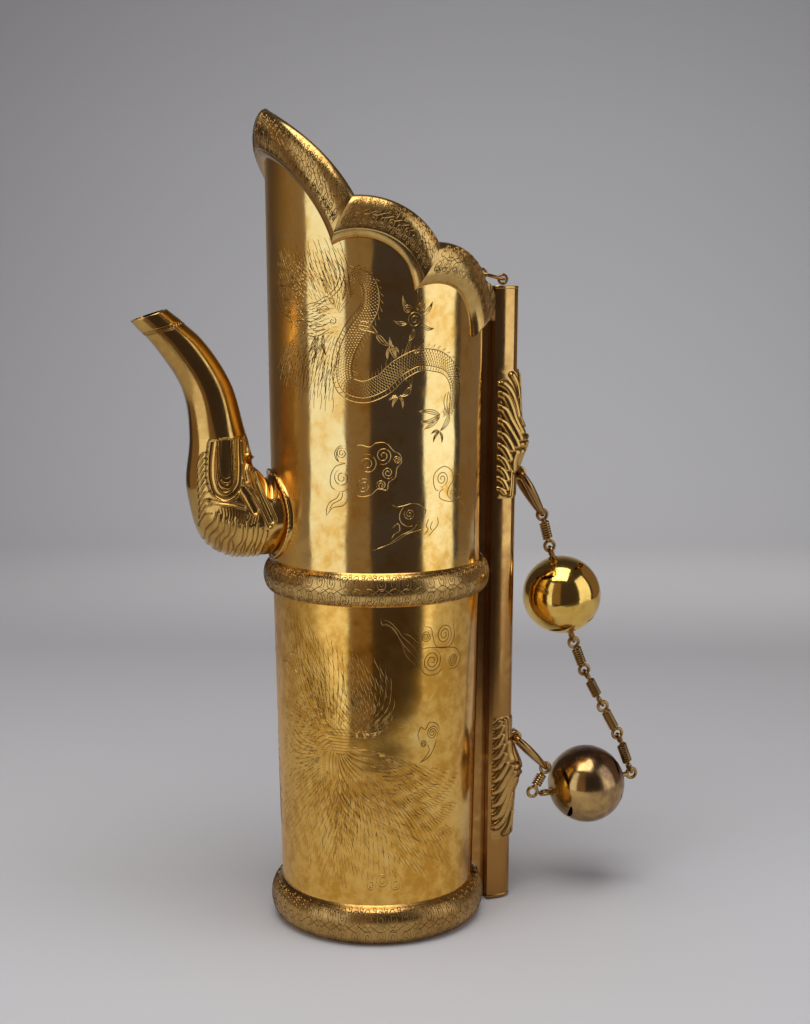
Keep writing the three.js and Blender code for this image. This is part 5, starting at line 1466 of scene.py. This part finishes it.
# %% Camera
scene = bpy.context.scene
camera = bpy.data.objects.new("camera", bpy.data.cameras.new("camera"))
scene.collection.objects.link(camera)
# About 8 degrees down and 16 round, worked out from the ellipses of both mouldings in the photograph
camera.location = (-0.23078, -0.86270, 0.35736)
camera.rotation_euler = (np.radians(90 - 8.077), 0.0, np.radians(-16.0))
camera.data.lens = 56.73
camera.data.sensor_width = 36.0
scene.camera = camera
print("camera at", [round(value, 3) for value in camera.location])

# %% Table and backdrop
# The way the camera looks, laid flat on the table, and its right
AHEAD = np.array([0.2756, 0.9613, 0.0])
RIGHT = np.array([0.9613, -0.2756, 0.0])


def pale_paper(name, colour):
    """Matt paper with a faint grain, and painted shade that makes it a third darker at the top of the sweep.
    """
    material = bpy.data.materials.new(name)
    material.use_nodes = True
    flow = Flow(material.node_tree)
    place = flow.node("TexCoord", output="Object")
    height = flow.node("SeparateXYZ", None, {"Vector": place}, output=2)
    # Painted shade: the colour darkens up the sweep in place of light falling off towards the top
    painted_falloff = height.between(-0.2, 1.2) + 0.02 * flow.noise(place, 0.004, detail=2.0)
    shade = painted_falloff.blend((*colour, 1), (*[value * 0.64 for value in colour], 1))
    paper = material.node_tree.nodes["Principled BSDF"]
    paper.inputs["Roughness"].default_value = 0.85
    paper.inputs["Specular IOR Level"].default_value = 0.2
    material.node_tree.links.new(shade.socket, paper.inputs["Base Color"])
    return material


def sweep():
    """A sheet that lies on the table, bends up in a quarter circle of 0.6 m and rises behind."""
    bend = np.linspace(0, np.pi / 2, 24)
    back = np.concatenate([np.linspace(-0.35, 1.3, 12), 1.3 + 0.6 * np.sin(bend)[1:], np.full(8, 1.9)])
    up = np.concatenate([np.zeros(12), 0.6 * (1 - np.cos(bend))[1:], np.linspace(0.6, 2.6, 9)[1:]])
    wide = np.linspace(-1.1, 1.1, 13)
    return back[:, None, None] * AHEAD + wide[None, :, None] * RIGHT + up[:, None, None] * [0, 0, 1]


points = sweep()
rows, cols = points.shape[:2]
index = np.arange(rows * cols).reshape(rows, cols)
cells = np.stack([index[:-1, :-1], index[:-1, 1:], index[1:, 1:], index[1:, :-1]], -1).reshape(-1, 4)
mesh = bpy.data.meshes.new("paper_sweep")
mesh.from_pydata(points.reshape(-1, 3).tolist(), [], cells.tolist())
mesh.shade_smooth()
mesh.materials.append(pale_paper("pale_paper", (0.80, 0.80, 0.80)))
paper = bpy.data.objects.new("paper_sweep", mesh)
scene.collection.objects.link(paper)
print("paper sweep:", len(cells), "cells")


# %% Soft boxes and room
def soft_box(name, azimuth, distance, height, size, radiance, aim, colour=(1, 1, 1)):
    """A rectangle of light, azimuth degrees to the right of the camera, that faces the ewer's axis at the
    height aim. Its power is radiance * pi * area."""
    turn = np.radians(azimuth)
    place = distance * (np.sin(turn) * RIGHT - np.cos(turn) * AHEAD) + [0, 0, height]
    lamp = bpy.data.lights.new(name, "AREA")
    lamp.shape = "RECTANGLE"
    lamp.size, lamp.size_y = size
    lamp.energy = radiance * np.pi * size[0] * size[1]
    lamp.color = colour
    box = bpy.data.objects.new(name, lamp)
    scene.collection.objects.link(box)
    box.location = place
    toward = np.array([0.0, 0.0, aim]) - place
    level = np.hypot(toward[0], toward[1])
    box.rotation_euler = (np.arctan2(level, -toward[2]), 0.0, np.arctan2(-toward[0], toward[1]))
    box.visible_camera = False
    return box


COOL, WARM = (0.95, 1.0, 1.14), (1.0, 0.66, 0.32)
# Azimuth, distance and height, then width and height of the lamp, radiance, and the height it aims at
soft_box("left_soft_box", -52, 1.2, 0.45, (0.95, 1.7), 0.95, 0.40, COOL)
soft_box("right_soft_box", 71, 1.2, 0.45, (0.84, 1.7), 1.10, 0.40, COOL)
soft_box("top_soft_box", -10, 0.35, 1.5, (1.1, 1.1), 3.2, 0.0)
soft_box("left_wall_glow", -93, 1.3, 0.45, (0.9, 1.7), 0.15, 0.40, WARM)
soft_box("front_wall_glow", -17, 1.3, 0.55, (0.6, 1.7), 0.16, 0.40, WARM)
soft_box("right_wall_glow", 122, 1.3, 0.45, (1.1, 1.7), 0.12, 0.40, WARM)
# This one stands behind the ewer, turned away from it, and lights the paper
glow = soft_box("backdrop_glow", 160, 0.9, 0.6, (1.5, 0.3), 1.9, 0.3)
glow.rotation_euler = (np.radians(72), 0.0, np.radians(-19.0))
room = bpy.data.worlds.new("room")
room.use_nodes = True
room.node_tree.nodes["Background"].inputs["Color"].default_value = (0.048, 0.038, 0.046, 1)
scene.world = room
scene.view_settings.view_transform = "Standard"
print("lamps:", len(bpy.data.lights))

# %% [markdown]
# ## Triangles in all
# The last cell prints how many triangles all the pieces have together.

# %% Sizes
print("triangles in all:", sum(totals.values()))
